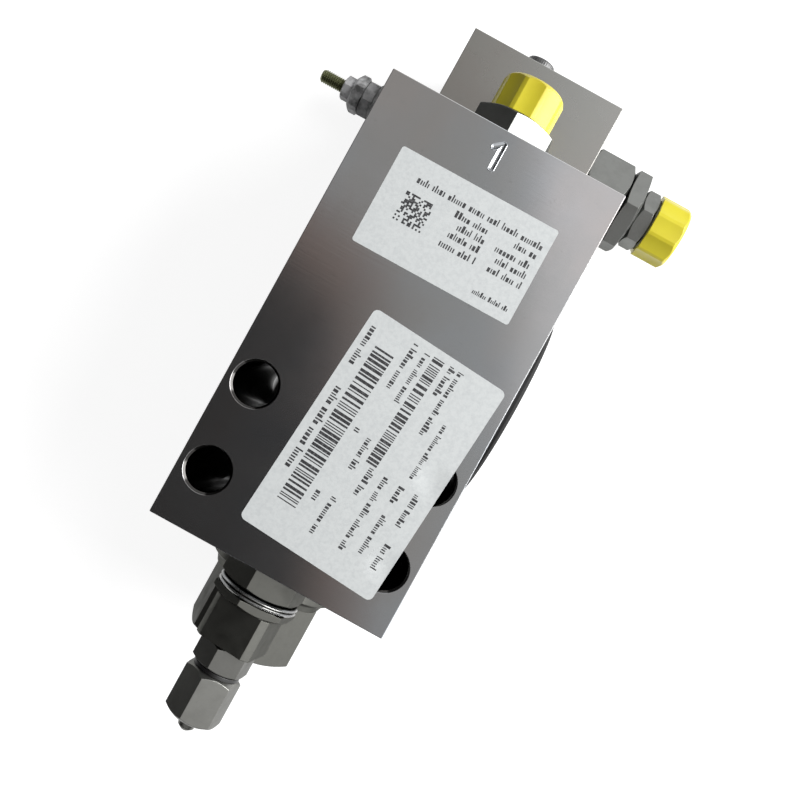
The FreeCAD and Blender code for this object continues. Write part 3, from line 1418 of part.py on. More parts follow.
def make_seals():
    """The O-rings: motor face, five screwed-in pieces and the three ways in the joint face."""
    wire = S["face_groove_deep"] - S["face_gap"]
    inside = S["face_groove_bore"] / 2 + (S["face_groove_width"] - wire) / 2
    ring_seal("motor_port_o_ring", inside, wire, (0, 0, S["face_gap"]), "+Z")
    seal = S["main_seal_wire"] * SEAL_INSET
    thread_seal("main_plug_o_ring", "plug_thread_dia", "main_seal_wire",
                (0, foot + seal, main_up), "-Y")
    seal = S["relief_seal_wire"] * SEAL_INSET
    thread_seal("relief_body_o_ring", "relief_thread_dia", "relief_seal_wire",
                (0, foot + seal, relief_up), "-Y")
    seal = S["drain_seal_wire"] * SEAL_INSET
    thread_seal("drain_port_o_ring", "drain_thread_dia", "drain_seal_wire",
                (0, head - seal, S["drain_axis_up"]), "+Y")
    seal = S["side_seal_wire"] * SEAL_INSET
    thread_seal("side_fitting_o_ring", "brake_thread_dia", "side_seal_wire",
                (S["brake_half_wide"] - seal, brake_port_y, S["brake_port_up"]), "+X")
    seal = S["brake_seal_wire"] * SEAL_INSET
    thread_seal("brake_cartridge_o_ring", "adjuster_thread_dia", "brake_seal_wire",
                (seal - S["brake_half_wide"],) + adjuster_axis, "-X")
    wire = S["joint_seal_wire"] - S["face_gap"]
    inside = S["joint_seal_dia"] / 2
    rings = []
    for number, (across, up) in enumerate(JOINT_WAYS, start=1):
        place = (across, head + S["thread_gap"], up)
        rings.append(ring_seal("joint_ring_%d" % number, inside, wire, place, "+Y"))
    return rings


def thread_seal(node, thread_name, seal_name, place, direction):
    """An O-ring in the bevel at the mouth of a tapped hole."""
    inside = S[thread_name] / 2 + S["thread_gap"] * 2
    ring_seal(node, inside, S[seal_name] * SEAL_FILL, place, direction)


def make_expanders():
    """Pressed plugs that close the cross drillings."""
    plugs = []
    sink = S["expander_sink"]
    places = [
        ((-S["relief_way_across"], head - sink, S["relief_way_up"]), "-Y"),
        ((feed_x, adjuster_y, S["brake_set_back"] + sink), "+Z"),
    ]
    radius = S["expander_dia"] / 2 - S["thread_gap"]
    cup = S["expander_cup_dia"] / 2
    long = S["expander_long"] - sink * 2
    for number, (place, direction) in enumerate(places, start=1):
        body = new_body("expander_%d" % number)
        turn_on(body, "expander_%d_turned" % number, [(0, long, radius, radius)])
        hollow = [(0, S["expander_cup_deep"], cup, cup)]
        bore(body, "expander_%d_cup" % number, (0, 0, 0), "+X", hollow)
        seat(body, place, direction)
        plugs.append(body)
    return plugs


make_main_block()
make_brake_valve_block()
screws = make_screws()
make_main_plug()
make_spool()
make_check_parts()
make_main_spring_parts()
make_pilot_parts()
make_relief_body()
make_relief_inside()
make_relief_adjuster()
make_drain_fitting()
make_side_fitting()
make_brake_cartridge()
make_flange_cover()
joint_rings = make_seals()
expanders = make_expanders()
doc.recompute()

GROUPS = {
    "block_screws": screws,
    "joint_face_o_rings": joint_rings,
    "expander_plugs": expanders,
}


def check_document():
    faults = []
    for item in doc.Objects:
        if "Invalid" in item.State or "Error" in item.State:
            faults.append("%s: %s" % (item.Name, item.State))
    if faults:
        raise RuntimeError("Failed objects: " + "; ".join(faults))


def node_shapes():
    """Each node's name and shape, with like pieces grouped."""
    grouped = {body.Name for bodies in GROUPS.values() for body in bodies}
    shapes = {}
    for item in doc.Objects:
        if item.TypeId == "PartDesign::Body" and item.Name not in grouped:
            shapes[item.Label] = item.Shape
    for node, bodies in GROUPS.items():
        shapes[node] = Part.makeCompound([body.Shape for body in bodies])
    return shapes


def export_all():
    shapes = node_shapes()
    for node, shape in shapes.items():
        if shape.isNull() or not shape.isValid() or not shape.Solids:
            raise RuntimeError("Bad shape: " + node)
    os.makedirs("parts", exist_ok=True)
    for node, shape in shapes.items():
        shape.exportStep(os.path.join("parts", node + ".step"))
        box = shape.BoundBox
        corners = (box.XMin, box.YMin, box.ZMin, box.XMax, box.YMax, box.ZMax)
        print("%-24s %2d solids %10.1f mm3  " % (node, len(shape.Solids), shape.Volume)
              + " ".join("%8.2f" % value for value in corners))
    print(len(shapes), "nodes")


check_document()
export_all()
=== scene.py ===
"""Looks of a hydraulic valve block: finishes, stickers, threads, screws, light and camera.

Metres: X across the block, Y along it to the head and Z up to the front face, from the middle of
the motor port. Sizes of details are in millimetres, times MM.
"""
import bpy
import bmesh
import math
import random
from functools import partial
from mathutils import Matrix, Vector


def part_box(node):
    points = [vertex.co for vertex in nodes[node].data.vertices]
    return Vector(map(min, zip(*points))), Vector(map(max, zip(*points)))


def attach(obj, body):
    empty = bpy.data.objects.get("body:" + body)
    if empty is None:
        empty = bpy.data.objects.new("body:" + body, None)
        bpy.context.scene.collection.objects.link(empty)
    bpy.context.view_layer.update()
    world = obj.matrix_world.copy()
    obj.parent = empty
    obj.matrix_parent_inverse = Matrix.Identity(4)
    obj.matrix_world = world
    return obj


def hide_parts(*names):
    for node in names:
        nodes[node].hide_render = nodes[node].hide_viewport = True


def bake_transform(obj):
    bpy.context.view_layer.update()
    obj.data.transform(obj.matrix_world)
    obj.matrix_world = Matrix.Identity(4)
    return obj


MM = 0.001

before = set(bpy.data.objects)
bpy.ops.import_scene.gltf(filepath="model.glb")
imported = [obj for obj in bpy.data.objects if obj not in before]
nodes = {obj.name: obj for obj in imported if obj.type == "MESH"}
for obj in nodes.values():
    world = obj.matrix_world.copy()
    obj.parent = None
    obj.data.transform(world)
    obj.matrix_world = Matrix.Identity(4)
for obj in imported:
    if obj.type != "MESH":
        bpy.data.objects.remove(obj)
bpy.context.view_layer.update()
scene = bpy.context.scene
scene.view_settings.view_transform = "Standard"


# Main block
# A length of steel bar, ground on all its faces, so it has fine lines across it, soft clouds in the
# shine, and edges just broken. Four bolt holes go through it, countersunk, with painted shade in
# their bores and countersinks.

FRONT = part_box("main_block")[1].z
BLOCK_COOL = (0.488, 0.512, 0.545, 1)
BLOCK_WARM = (0.525, 0.488, 0.478, 1)
BLOCK_STAIN = (0.45, 0.455, 0.46, 1)
BLOCK_ROUGH = 0.15
BLOCK_CLOUDY = 0.05
LINE_DEEP = 0.03 * MM
BROKEN_EDGE = 0.05 * MM
DARK_MARK = (0.16, 0.155, 0.15, 1)
HOLE_SPREAD = (57.15 / 2 * MM, 27.76 / 2 * MM)
HOLE_RADIUS = 6.5 * MM
COUNTERSINK = 0.6 * MM
# Painted shade in the bolt holes: the bore, and the countersink around it.
BORE_PAINTED_SHADE = (0.012, 0.012, 0.012, 1)
COUNTERSINK_PAINTED_SHADE = (0.06, 0.058, 0.056, 1)


def new_finish(name):
    """A material, its node tree and its surface shader."""
    material = bpy.data.materials.new(name)
    material.use_nodes = True
    tree = material.node_tree
    return material, tree, tree.nodes["Principled BSDF"]


def add_node(tree, kind, **settings):
    node = tree.nodes.new("ShaderNode" + kind)
    for key, value in settings.items():
        setattr(node, key, value)
    return node


def feed(tree, socket, value):
    """Link an output to a socket, or write a plain value on it."""
    if isinstance(value, bpy.types.NodeSocket):
        tree.links.new(value, socket)
    else:
        socket.default_value = value


def place_in(tree, scale=(1, 1, 1)):
    """The piece's own coordinates, scaled, so that a pattern stays with the piece."""
    coords = add_node(tree, "TexCoord")
    mapping = add_node(tree, "Mapping")
    mapping.inputs["Scale"].default_value = scale
    tree.links.new(coords.outputs["Object"], mapping.inputs["Vector"])
    return mapping.outputs["Vector"]


def axes_in(tree):
    """The three separate coordinates of a point in the piece."""
    split = add_node(tree, "SeparateXYZ")
    tree.links.new(place_in(tree), split.inputs["Vector"])
    return split.outputs


def noise(tree, scale, detail=4, roughness=0.55, stretch=(1, 1, 1)):
    node = add_node(tree, "TexNoise")
    tree.links.new(place_in(tree, stretch), node.inputs["Vector"])
    node.inputs["Scale"].default_value = scale
    node.inputs["Detail"].default_value = detail
    node.inputs["Roughness"].default_value = roughness
    return node.outputs["Fac"]


def span(tree, value, from_low, from_high, to_low, to_high):
    """Map a range of a value to another range, clamped."""
    node = add_node(tree, "MapRange")
    feed(tree, node.inputs["Value"], value)
    for key, number in (("From Min", from_low), ("From Max", from_high),
                        ("To Min", to_low), ("To Max", to_high)):
        node.inputs[key].default_value = number
    return node.outputs["Result"]


def calculate(tree, operation, first, second=0.0):
    node = add_node(tree, "Math", operation=operation)
    feed(tree, node.inputs[0], first)
    feed(tree, node.inputs[1], second)
    return node.outputs[0]


def blend_colour(tree, share, first, second):
    node = add_node(tree, "Mix", data_type="RGBA")
    feed(tree, node.inputs["Factor"], share)
    feed(tree, node.inputs["A"], first)
    feed(tree, node.inputs["B"], second)
    return node.outputs["Result"]


def add_bump(tree, height, strength, distance, normal=None):
    node = add_node(tree, "Bump")
    node.inputs["Strength"].default_value = strength
    node.inputs["Distance"].default_value = distance
    tree.links.new(height, node.inputs["Height"])
    if normal is not None:
        tree.links.new(normal, node.inputs["Normal"])
    return node.outputs["Normal"]


def soft_edges(tree, radius):
    """A normal that rounds the sharp edges of a machined piece."""
    node = add_node(tree, "Bevel", samples=6)
    node.inputs["Radius"].default_value = radius
    return node.outputs["Normal"]


def finish_with(material, *names):
    """Give a material to pieces that keep their own mesh."""
    for name in names:
        nodes[name].data.materials.clear()
        nodes[name].data.materials.append(material)


def ground_steel(name, cool, warm, stain, rough, cloudy):
    """Ground steel: fine lines one way, warm and cool clouds, stains and small marks."""
    material, tree, shader = new_finish(name)
    lines = noise(tree, 1.6, 3, 0.6, (30, 900, 900))
    clouds = noise(tree, 34, 5, 0.6)
    warmth = noise(tree, 21, 3, 0.5, (1, 0.6, 1))
    spots = noise(tree, 420, 3, 0.7)
    tint = blend_colour(tree, span(tree, warmth, 0.45, 0.66, 0, 1), cool, warm)
    tint = blend_colour(tree, span(tree, clouds, 0.35, 0.75, 0, 1), tint, stain)
    marks = span(tree, spots, 0.64, 0.78, 0, 0.2)
    feed(tree, shader.inputs["Base Color"], blend_colour(tree, marks, tint, DARK_MARK))
    shader.inputs["Metallic"].default_value = 1.0
    feed(tree, shader.inputs["Roughness"],
         span(tree, clouds, 0.3, 0.8, rough - 0.02, rough + cloudy))
    normal = add_bump(tree, lines, 0.16, LINE_DEEP, soft_edges(tree, BROKEN_EDGE))
    feed(tree, shader.inputs["Normal"], normal)
    return material


def paint_shade_in_bolt_holes(material):
    """Paint shade into the bores of the four bolt holes and their countersinks."""
    tree = material.node_tree
    base = tree.nodes["Principled BSDF"].inputs["Base Color"]
    bare = base.links[0].from_socket
    place = axes_in(tree)
    total = None
    for axis, spread in enumerate(HOLE_SPREAD):
        away = calculate(tree, "SUBTRACT", calculate(tree, "ABSOLUTE", place[axis]), spread)
        square = calculate(tree, "MULTIPLY", away, away)
        total = square if total is None else calculate(tree, "ADD", total, square)
    rim = HOLE_RADIUS + COUNTERSINK
    near = span(tree, calculate(tree, "SQRT", total), rim, rim + 0.1 * MM, 1, 0)
    below = span(tree, place[2], FRONT - 0.06 * MM, FRONT - 0.02 * MM, 1, 0)
    deep = span(tree, place[2], FRONT - 1.6 * COUNTERSINK, FRONT - COUNTERSINK, 1, 0)
    # Painted shade: the countersinks a little dark, the bores nearly black.
    painted_hole_shade = blend_colour(tree, deep, COUNTERSINK_PAINTED_SHADE, BORE_PAINTED_SHADE)
    feed(tree, base, blend_colour(tree, calculate(tree, "MULTIPLY", near, below), bare, painted_hole_shade))


block_finish = ground_steel("block_steel", BLOCK_COOL, BLOCK_WARM, BLOCK_STAIN, BLOCK_ROUGH,
                            BLOCK_CLOUDY)
paint_shade_in_bolt_holes(block_finish)
finish_with(block_finish, "main_block")


# Stamped numeral
# A plain 1 at the head end of the front face. It is struck in with a hardened punch, so its strokes
# have a flat floor and sloped sides, and the punch throws up a low ridge around them.

MARK_PLACE = Vector((-0.3, 103.1)) * MM
MARK_STROKES = [((0.6, 3.7), (0.6, -3.7)), ((0.6, 3.7), (-1.6, 1.9))]
STROKE_HALF = 0.75 * MM
STROKE_SIDE = 0.55 * MM
STRUCK_DEEP = 0.5 * MM
RIDGE_OUTLINE = [(-0.15, -4.0), (0.2, -4.45), (1.0, -4.45), (1.35, -4.0), (1.35, 3.9), (0.95, 4.4),
                 (0.3, 4.4), (-2.08, 2.48), (-2.33, 1.85), (-1.95, 1.25), (-1.4, 1.18),
                 (-0.15, 2.12)]
RIDGE_WIDE = 0.3
RIDGE_HIGH = 0.08 * MM
SHARP_ANGLE = 30


def away_from_stroke(tree, place, start, end):
    """The distance of a point from one straight stroke."""
    first = Vector(start) * MM + MARK_PLACE
    run = (Vector(end) - Vector(start)) * MM
    away = [calculate(tree, "SUBTRACT", place[axis], first[axis]) for axis in range(2)]
    parts = [calculate(tree, "MULTIPLY", away[axis], run[axis] / run.length_squared)
             for axis in range(2)]
    share = span(tree, calculate(tree, "ADD", *parts), 0, 1, 0, 1)
    squares = []
    for axis in range(2):
        reached = calculate(tree, "MULTIPLY", share, run[axis])
        side = calculate(tree, "SUBTRACT", away[axis], reached)
        squares.append(calculate(tree, "MULTIPLY", side, side))
    return calculate(tree, "SQRT", calculate(tree, "ADD", *squares))


def strike_numeral(material):
    """Sink the strokes of the numeral into the shading of the front face."""
    tree = material.node_tree
    normal = tree.nodes["Principled BSDF"].inputs["Normal"]
    before = normal.links[0].from_socket
    place = axes_in(tree)
    depths = []
    for start, end in MARK_STROKES:
        away = away_from_stroke(tree, place, start, end)
        depths.append(span(tree, away, STROKE_HALF - STROKE_SIDE, STROKE_HALF, 1, 0))
    on_face = span(tree, place[2], FRONT - 1 * MM, FRONT - 0.5 * MM, 0, 1)
    depth = calculate(tree, "MULTIPLY", calculate(tree, "MAXIMUM", *depths), on_face)
    struck = add_node(tree, "Bump", invert=True)
    struck.inputs["Strength"].default_value = 1.0
    struck.inputs["Distance"].default_value = STRUCK_DEEP
    tree.links.new(depth, struck.inputs["Height"])
    tree.links.new(before, struck.inputs["Normal"])
    tree.links.new(struck.outputs["Normal"], normal)


def link_mesh(name, shape, material, smooth=True):
    """A piece made from a mesh under construction, smooth except at its sharp edges."""
    mesh = bpy.data.meshes.new(name)
    shape.to_mesh(mesh)
    shape.free()
    piece = bpy.data.objects.new(name, mesh)
    scene.collection.objects.link(piece)
    piece.data.materials.append(material)
    if smooth:
        mesh.shade_smooth()
        mesh.set_sharp_from_angle(angle=math.radians(SHARP_ANGLE))
    return piece


def raise_ridge():
    """A closed ridge of three-cornered section around the outline of the numeral."""
    shape = bmesh.new()
    corners = [Vector(corner) for corner in RIDGE_OUTLINE]
    loops = [[], [], []]
    for index, corner in enumerate(corners):
        before = (corner - corners[index - 1]).normalized()
        after = (corners[(index + 1) % len(corners)] - corner).normalized()
        outward = Vector((before.y + after.y, -before.x - after.x)) / (1 + before.dot(after))
        for loop, out, high in zip(loops, (0, 0.5, 1), (0, RIDGE_HIGH, 0)):
            place = (corner + outward * RIDGE_WIDE * out) * MM + MARK_PLACE
            loop.append(shape.verts.new((place.x, place.y, FRONT + high)))
    for number, loop in enumerate(loops):
        beside = loops[number - 1]
        for index in range(len(loop)):
            after = (index + 1) % len(loop)
            shape.faces.new((loop[index], loop[after], beside[after], beside[index]))
    bmesh.ops.recalc_face_normals(shape, faces=shape.faces)
    ridge = link_mesh("numeral_ridge", shape, block_finish, smooth=False)
    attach(ridge, "root")


strike_numeral(block_finish)
raise_ridge()


# Brake valve block
# A smaller block of the same steel, milled and left duller than the main block, with faint stains
# where hands and oil have been. Cap screws hold it to the head.

SMALL_COOL = (0.36, 0.368, 0.358, 1)
SMALL_WARM = (0.37, 0.352, 0.335, 1)
SMALL_STAIN = (0.33, 0.33, 0.315, 1)
SMALL_ROUGH = 0.25
SMALL_CLOUDY = 0.09

finish_with(ground_steel("small_block_steel", SMALL_COOL, SMALL_WARM, SMALL_STAIN, SMALL_ROUGH,
                         SMALL_CLOUDY), "brake_valve_block")


# Cap screws
# Four black socket head screws with knurled heads go through the brake valve block into the main
# block. Three heads stand on its end face and one is sunk.

SCREW_PLACES = [(-3.6, 33.0, 0), (-21.0, 26.5, 0), (2.0, 7.0, 0), (20.0, 42.0, 1)]
SCREW_HEAD = 6.4 * MM
SCREW_HEAD_RADIUS = 5.0 * MM
SCREW_SHANK_RADIUS = 3.0 * MM
SCREW_SOCKET = 5.0 * MM
SCREW_SOCKET_DEEP = 3.0 * MM
SCREW_REACH = 49.0 * MM
SCREW_SINK = 8.0 * MM
SCREW_EDGE = 0.6 * MM
KNURLS = 40
KNURL_DEEP = 0.12 * MM
KNURL_SIDES = 4
KNURL_START = 0.3 * MM
HEAD_CHAMFER = 0.25 * MM
SOCKET_CHAMFER = 0.25 * MM
SOCKET_CONE = 0.8 * MM
SCREW_BLACK = (0.14, 0.14, 0.14, 1)
WORN_SHADE = 0.62
DENT_DEEP = 0.04 * MM
UP = Vector((0, 0, 1))


def plated_steel(name, base, rough, edge=0.3 * MM, wear=0.5, aslant=1.0):
    """Plated or blackened steel: mottled, dented, soft at its edges, its shine set for low angles."""
    material, tree, shader = new_finish(name)
    mottle = noise(tree, 160, 4, 0.6)
    dents = noise(tree, 700, 2, 0.5)
    dull = tuple(channel * WORN_SHADE for channel in base[:3]) + (1,)
    share = span(tree, mottle, 0.42, 0.72, 0, wear)
    feed(tree, shader.inputs["Base Color"], blend_colour(tree, share, base, dull))
    shader.inputs["Metallic"].default_value = 1.0
    shader.inputs["Specular Tint"].default_value = (aslant, aslant, aslant, 1)
    feed(tree, shader.inputs["Roughness"], span(tree, mottle, 0.3, 0.7, rough - 0.06, rough + 0.1))
    normal = add_bump(tree, dents, 0.12, DENT_DEEP, soft_edges(tree, edge))
    feed(tree, shader.inputs["Normal"], normal)
    return material


def along(direction):
    """A turn that takes the local Z axis to a direction."""
    return UP.rotation_difference(Vector(direction)).to_matrix().to_4x4()


def lathe(shape, rings, segments):
    """Skin rings given as (height, radius or function of angle), open at both ends."""
    loops = []
    for height, radius in rings:
        loop = []
        for index in range(segments):
            angle = 2 * math.pi * index / segments
            out = radius(angle) if callable(radius) else radius
            loop.append(shape.verts.new((out * math.cos(angle), out * math.sin(angle), height)))
        loops.append(loop)
    for low, high in zip(loops, loops[1:]):
        for index in range(segments):
            after = (index + 1) % segments
            shape.faces.new((low[index], low[after], high[after], high[index]))
    return loops


def close_loop(shape, loop, height):
    """Close a loop with a shallow cone."""
    tip = shape.verts.new((0, 0, height))
    for index in range(len(loop)):
        shape.faces.new((loop[index], loop[(index + 1) % len(loop)], tip))


def cap_screw(name, top, material):
    """A socket head screw with a knurled head, pointing towards -Y."""
    shape = bmesh.new()
    socket_corner = SCREW_SOCKET / 2 / math.cos(math.pi / 6)

    def knurl(angle):
        return SCREW_HEAD_RADIUS - KNURL_DEEP * (0.5 + 0.5 * math.cos(angle * KNURLS))

    def hexagon(angle):
        within = (angle + math.pi / 6) % (math.pi / 3) - math.pi / 6
        return min(socket_corner, SCREW_SOCKET / 2 / math.cos(within))

    rings = [
        (-SCREW_HEAD - SCREW_REACH, SCREW_SHANK_RADIUS - SCREW_EDGE),
        (-SCREW_HEAD - SCREW_REACH + SCREW_EDGE, SCREW_SHANK_RADIUS),
        (-SCREW_HEAD, SCREW_SHANK_RADIUS),
        (-SCREW_HEAD, SCREW_HEAD_RADIUS - HEAD_CHAMFER),
        (-SCREW_HEAD + KNURL_START, knurl),
        (-SCREW_EDGE * 1.4, knurl),
        (-SCREW_EDGE * 0.4, SCREW_HEAD_RADIUS - SCREW_EDGE * 0.6),
        (0.0, SCREW_HEAD_RADIUS - SCREW_EDGE * 1.6),
        (0.0, socket_corner + SOCKET_CHAMFER),
        (-SOCKET_CHAMFER, hexagon),
        (-SCREW_SOCKET_DEEP, hexagon),
    ]
    loops = lathe(shape, rings, KNURLS * KNURL_SIDES)
    close_loop(shape, loops[0], rings[0][0])
    close_loop(shape, loops[-1], -SCREW_SOCKET_DEEP - SOCKET_CONE)
    bmesh.ops.recalc_face_normals(shape, faces=shape.faces)
    shape.transform(Matrix.Translation(top) @ along((0, 1, 0)))
    piece = link_mesh(name, shape, material)
    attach(piece, "root")
    return piece


screw_finish = plated_steel("black_screw", SCREW_BLACK, 0.4)
small_block_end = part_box("brake_valve_block")[1].y
for number, (across, up, sunk) in enumerate(SCREW_PLACES, start=1):
    screw_top = Vector((across * MM, small_block_end + SCREW_HEAD - SCREW_SINK * sunk, up * MM))
    screw = cap_screw("cap_screw_%d" % number, screw_top, screw_finish)
    if number == 1:
        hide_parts("block_screws")
finish_with(screw_finish, "block_screws")


# Plug and relief cartridge at the foot
# Turned from hexagon bar and blackened, and dark with oil. The big plug closes the spool's bore, and
# the cartridge over it carries a bright sealing ring, a bonnet, a lock nut and a cap nut.

OILED_BLACK = (0.135, 0.135, 0.124, 1)
LOCK_NUT_GREY = (0.17, 0.17, 0.16, 1)
CAP_NUT_GREY = (0.25, 0.25, 0.236, 1)
WASHER_DARK = (0.07, 0.07, 0.07, 1)
OIL_ASLANT = 0.42
LOCK_NUT_ASLANT = 0.7
CAP_NUT_ASLANT = 0.6
RING_ASLANT = 0.6
RING_BRIGHT = (0.62, 0.62, 0.61, 1)
RING_BEADS = 2
# Painted shade in the groove beside each bead.
GROOVE_PAINTED_SHADE = (0.02, 0.02, 0.018, 1)


def beaded_ring(name):
    """Bright steel with two beads, and painted shade in the groove beside each."""
    material = plated_steel(name, RING_BRIGHT, 0.24, BROKEN_EDGE, 0.3, RING_ASLANT)
    tree = material.node_tree
    base = tree.nodes["Principled BSDF"].inputs["Base Color"]
    bright = base.links[0].from_socket
    low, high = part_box("relief_ring")
    along_ring = calculate(tree, "SUBTRACT", axes_in(tree)[1], low.y)
    beads = calculate(tree, "MULTIPLY", along_ring, RING_BEADS / (high.y - low.y))
    from_crest = calculate(tree, "SUBTRACT", calculate(tree, "FRACT", beads), 0.5)
    # Darkest between the beads: painted shade in the groove.
    groove = span(tree, calculate(tree, "ABSOLUTE", from_crest), 0.22, 0.4, 0, 1)
    feed(tree, base, blend_colour(tree, groove, bright, GROOVE_PAINTED_SHADE))
    return material


finish_with(plated_steel("blackened_steel", OILED_BLACK, 0.38, aslant=OIL_ASLANT),
            "main_plug", "relief_body", "relief_bonnet")
finish_with(plated_steel("lock_nut_steel", LOCK_NUT_GREY, 0.36, aslant=LOCK_NUT_ASLANT),
            "relief_lock_nut")
finish_with(plated_steel("cap_nut_steel", CAP_NUT_GREY, 0.33, aslant=CAP_NUT_ASLANT),
            "relief_cap_nut")
finish_with(beaded_ring("bright_ring"), "relief_ring")
finish_with(plated_steel("cap_washer", WASHER_DARK, 0.4), "relief_cap_seal")


# Fittings on the head and on the side
# Zinc plated steel hexagons. The side fitting has a swivel nut that holds a reducer, and the stubs
# under both plastic caps have a rolled thread.

ALONG_X = 0
ALONG_Y = 1
ZINC = (0.255, 0.26, 0.25, 1)
ZINC_ASLANT = 0.4
STUB_PITCH = 1.5 * MM
STUB_CREST_FLAT = 0.12
STUB_END = 1.0 * MM
DRAIN_STUB = (8.05 * MM, 7.6 * MM, 8.4 * MM)
SIDE_STUB = (9.22 * MM, 8.8 * MM, 7.6 * MM)
THREAD_SIDES = 64
RINGS_A_TURN = 10

zinc_finish = plated_steel("fitting_steel", ZINC, 0.34, aslant=ZINC_ASLANT)
finish_with(zinc_finish, "drain_port_fitting", "side_fitting_body", "side_reducer",
            "side_swivel_nut", "expander_plugs")


def thread_depth(pitch, crest, root, flat):
    """The radius of a thread at a height and an angle, with flats on its crests and roots."""
    def out(height, angle):
        wave = abs(2 * ((height / pitch - angle / (2 * math.pi)) % 1.0) - 1)
        return root + (crest - root) * min(1.0, max(0.0, (wave - flat) / (1 - 2 * flat)))
    return out


def thread_rings(start, length, pitch, out):
    """Rings close enough together to show each turn of a thread."""
    steps = round(length / pitch * RINGS_A_TURN)
    heights = [start + length * step / steps for step in range(steps + 1)]
    return [(height, partial(out, height)) for height in heights]


def stub_thread(name, fitting, axis, crest, root, length):
    """An open sleeve with a real helical thread, on a stub under its plastic cap."""
    low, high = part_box(fitting)
    start = (low + high) / 2
    start[axis] = high[axis] - STUB_END - length
    direction = Vector((0, 0, 0))
    direction[axis] = 1
    shape = bmesh.new()
    out = thread_depth(STUB_PITCH, crest, root, STUB_CREST_FLAT)
    lathe(shape, thread_rings(0, length, STUB_PITCH, out), THREAD_SIDES)
    shape.transform(Matrix.Translation(start) @ along(direction))
    piece = link_mesh(name, shape, zinc_finish)
    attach(piece, "root")


stub_thread("drain_stub_thread", "drain_port_fitting", ALONG_Y, *DRAIN_STUB)
stub_thread("side_stub_thread", "side_reducer", ALONG_X, *SIDE_STUB)


# Plastic caps and port cover
# Soft yellow caps with wide grip flutes are pushed over both stubs to keep dirt out until the pipes
# are fitted. A thin black plastic disc is pushed into the side port for the same reason.

CAP_YELLOW = (0.68, 0.60, 0.03, 1)
CAP_DEEP = (0.58, 0.49, 0.02, 1)
CAP_THROUGH = 0.06
COVER_BLACK = (0.010, 0.010, 0.010, 1)
COVER_GREY = (0.016, 0.016, 0.016, 1)
COVER_SHINE = 0.2
LIGHT_REACH = 0.8 * MM
GRAIN_DEEP = 0.05 * MM
MOULDED_EDGE = 0.4 * MM


def moulded_plastic(name, base, deep, rough, grain, through=0.0, shine=0.5):
    """Moulded plastic: fine grain, a slightly deeper colour in places, rounded edges."""
    material, tree, shader = new_finish(name)
    patches = noise(tree, 60, 3, 0.5)
    fine = noise(tree, 2600, 2, 0.5)
    share = span(tree, patches, 0.35, 0.7, 0, 1)
    feed(tree, shader.inputs["Base Color"], blend_colour(tree, share, base, deep))
    feed(tree, shader.inputs["Roughness"], span(tree, patches, 0.3, 0.7, rough - 0.04, rough + 0.06))
    if through:
        shader.inputs["Subsurface Weight"].default_value = through
        shader.inputs["Subsurface Radius"].default_value = (1.0, 0.8, 0.15)
        shader.inputs["Subsurface Scale"].default_value = LIGHT_REACH
    shader.inputs["Specular IOR Level"].default_value = shine
    normal = add_bump(tree, fine, grain, GRAIN_DEEP, soft_edges(tree, MOULDED_EDGE))
    feed(tree, shader.inputs["Normal"], normal)
    return material


finish_with(moulded_plastic("yellow_cap", CAP_YELLOW, CAP_DEEP, 0.34, 0.12, through=CAP_THROUGH),
            "drain_port_cap", "side_port_cap")
finish_with(moulded_plastic("black_cover", COVER_BLACK, COVER_GREY, 0.6, 0.5, shine=COVER_SHINE),
            "flange_cover")


# Brake pressure adjuster
# A slim cartridge on the left of the brake valve block, zinc plated and blotched by handling, its
# bright blotches partly painted highlights. Its olive stud is threaded from end to end, and a small
# nut locks it.

STUD_PITCH = 0.8 * MM
STUD_THREAD_DEEP = 0.42 * MM
STUD_CHAMFER = 0.6 * MM
STUD_CREST_FLAT = 0.07
STUD_OLIVE = (0.17, 0.18, 0.10, 1)
PATCH_DULL = (0.20, 0.20, 0.20, 1)
PATCH_BRIGHT_AND_GLINT = (0.66, 0.66, 0.67, 1)
PATCH_DIRT = (0.10, 0.10, 0.10, 1)
PATCH_DEEP = 0.12 * MM
PATCH_EDGE = 0.35 * MM


def blotched_zinc(name):
    """Old zinc plating: dull and bright patches a few millimetres across, the bright partly a painted
    highlight.
    """
    material, tree, shader = new_finish(name)
    patches = noise(tree, 260, 3, 0.6)
    clouds = noise(tree, 75, 2, 0.5)
    # Dull and bright blotches, the bright ones partly painted highlights.
    tint = blend_colour(tree, span(tree, patches, 0.38, 0.62, 0, 1),
                        PATCH_DULL, PATCH_BRIGHT_AND_GLINT)
    tint = blend_colour(tree, span(tree, clouds, 0.42, 0.62, 0, 0.7), tint, PATCH_DIRT)
    feed(tree, shader.inputs["Base Color"], tint)
    shader.inputs["Metallic"].default_value = 0.35
    shader.inputs["Specular Tint"].default_value = (ZINC_ASLANT, ZINC_ASLANT, ZINC_ASLANT, 1)
    feed(tree, shader.inputs["Roughness"], span(tree, patches, 0.35, 0.65, 0.42, 0.6))
    normal = add_bump(tree, patches, 0.35, PATCH_DEEP, soft_edges(tree, PATCH_EDGE))
    feed(tree, shader.inputs["Normal"], normal)
    return material


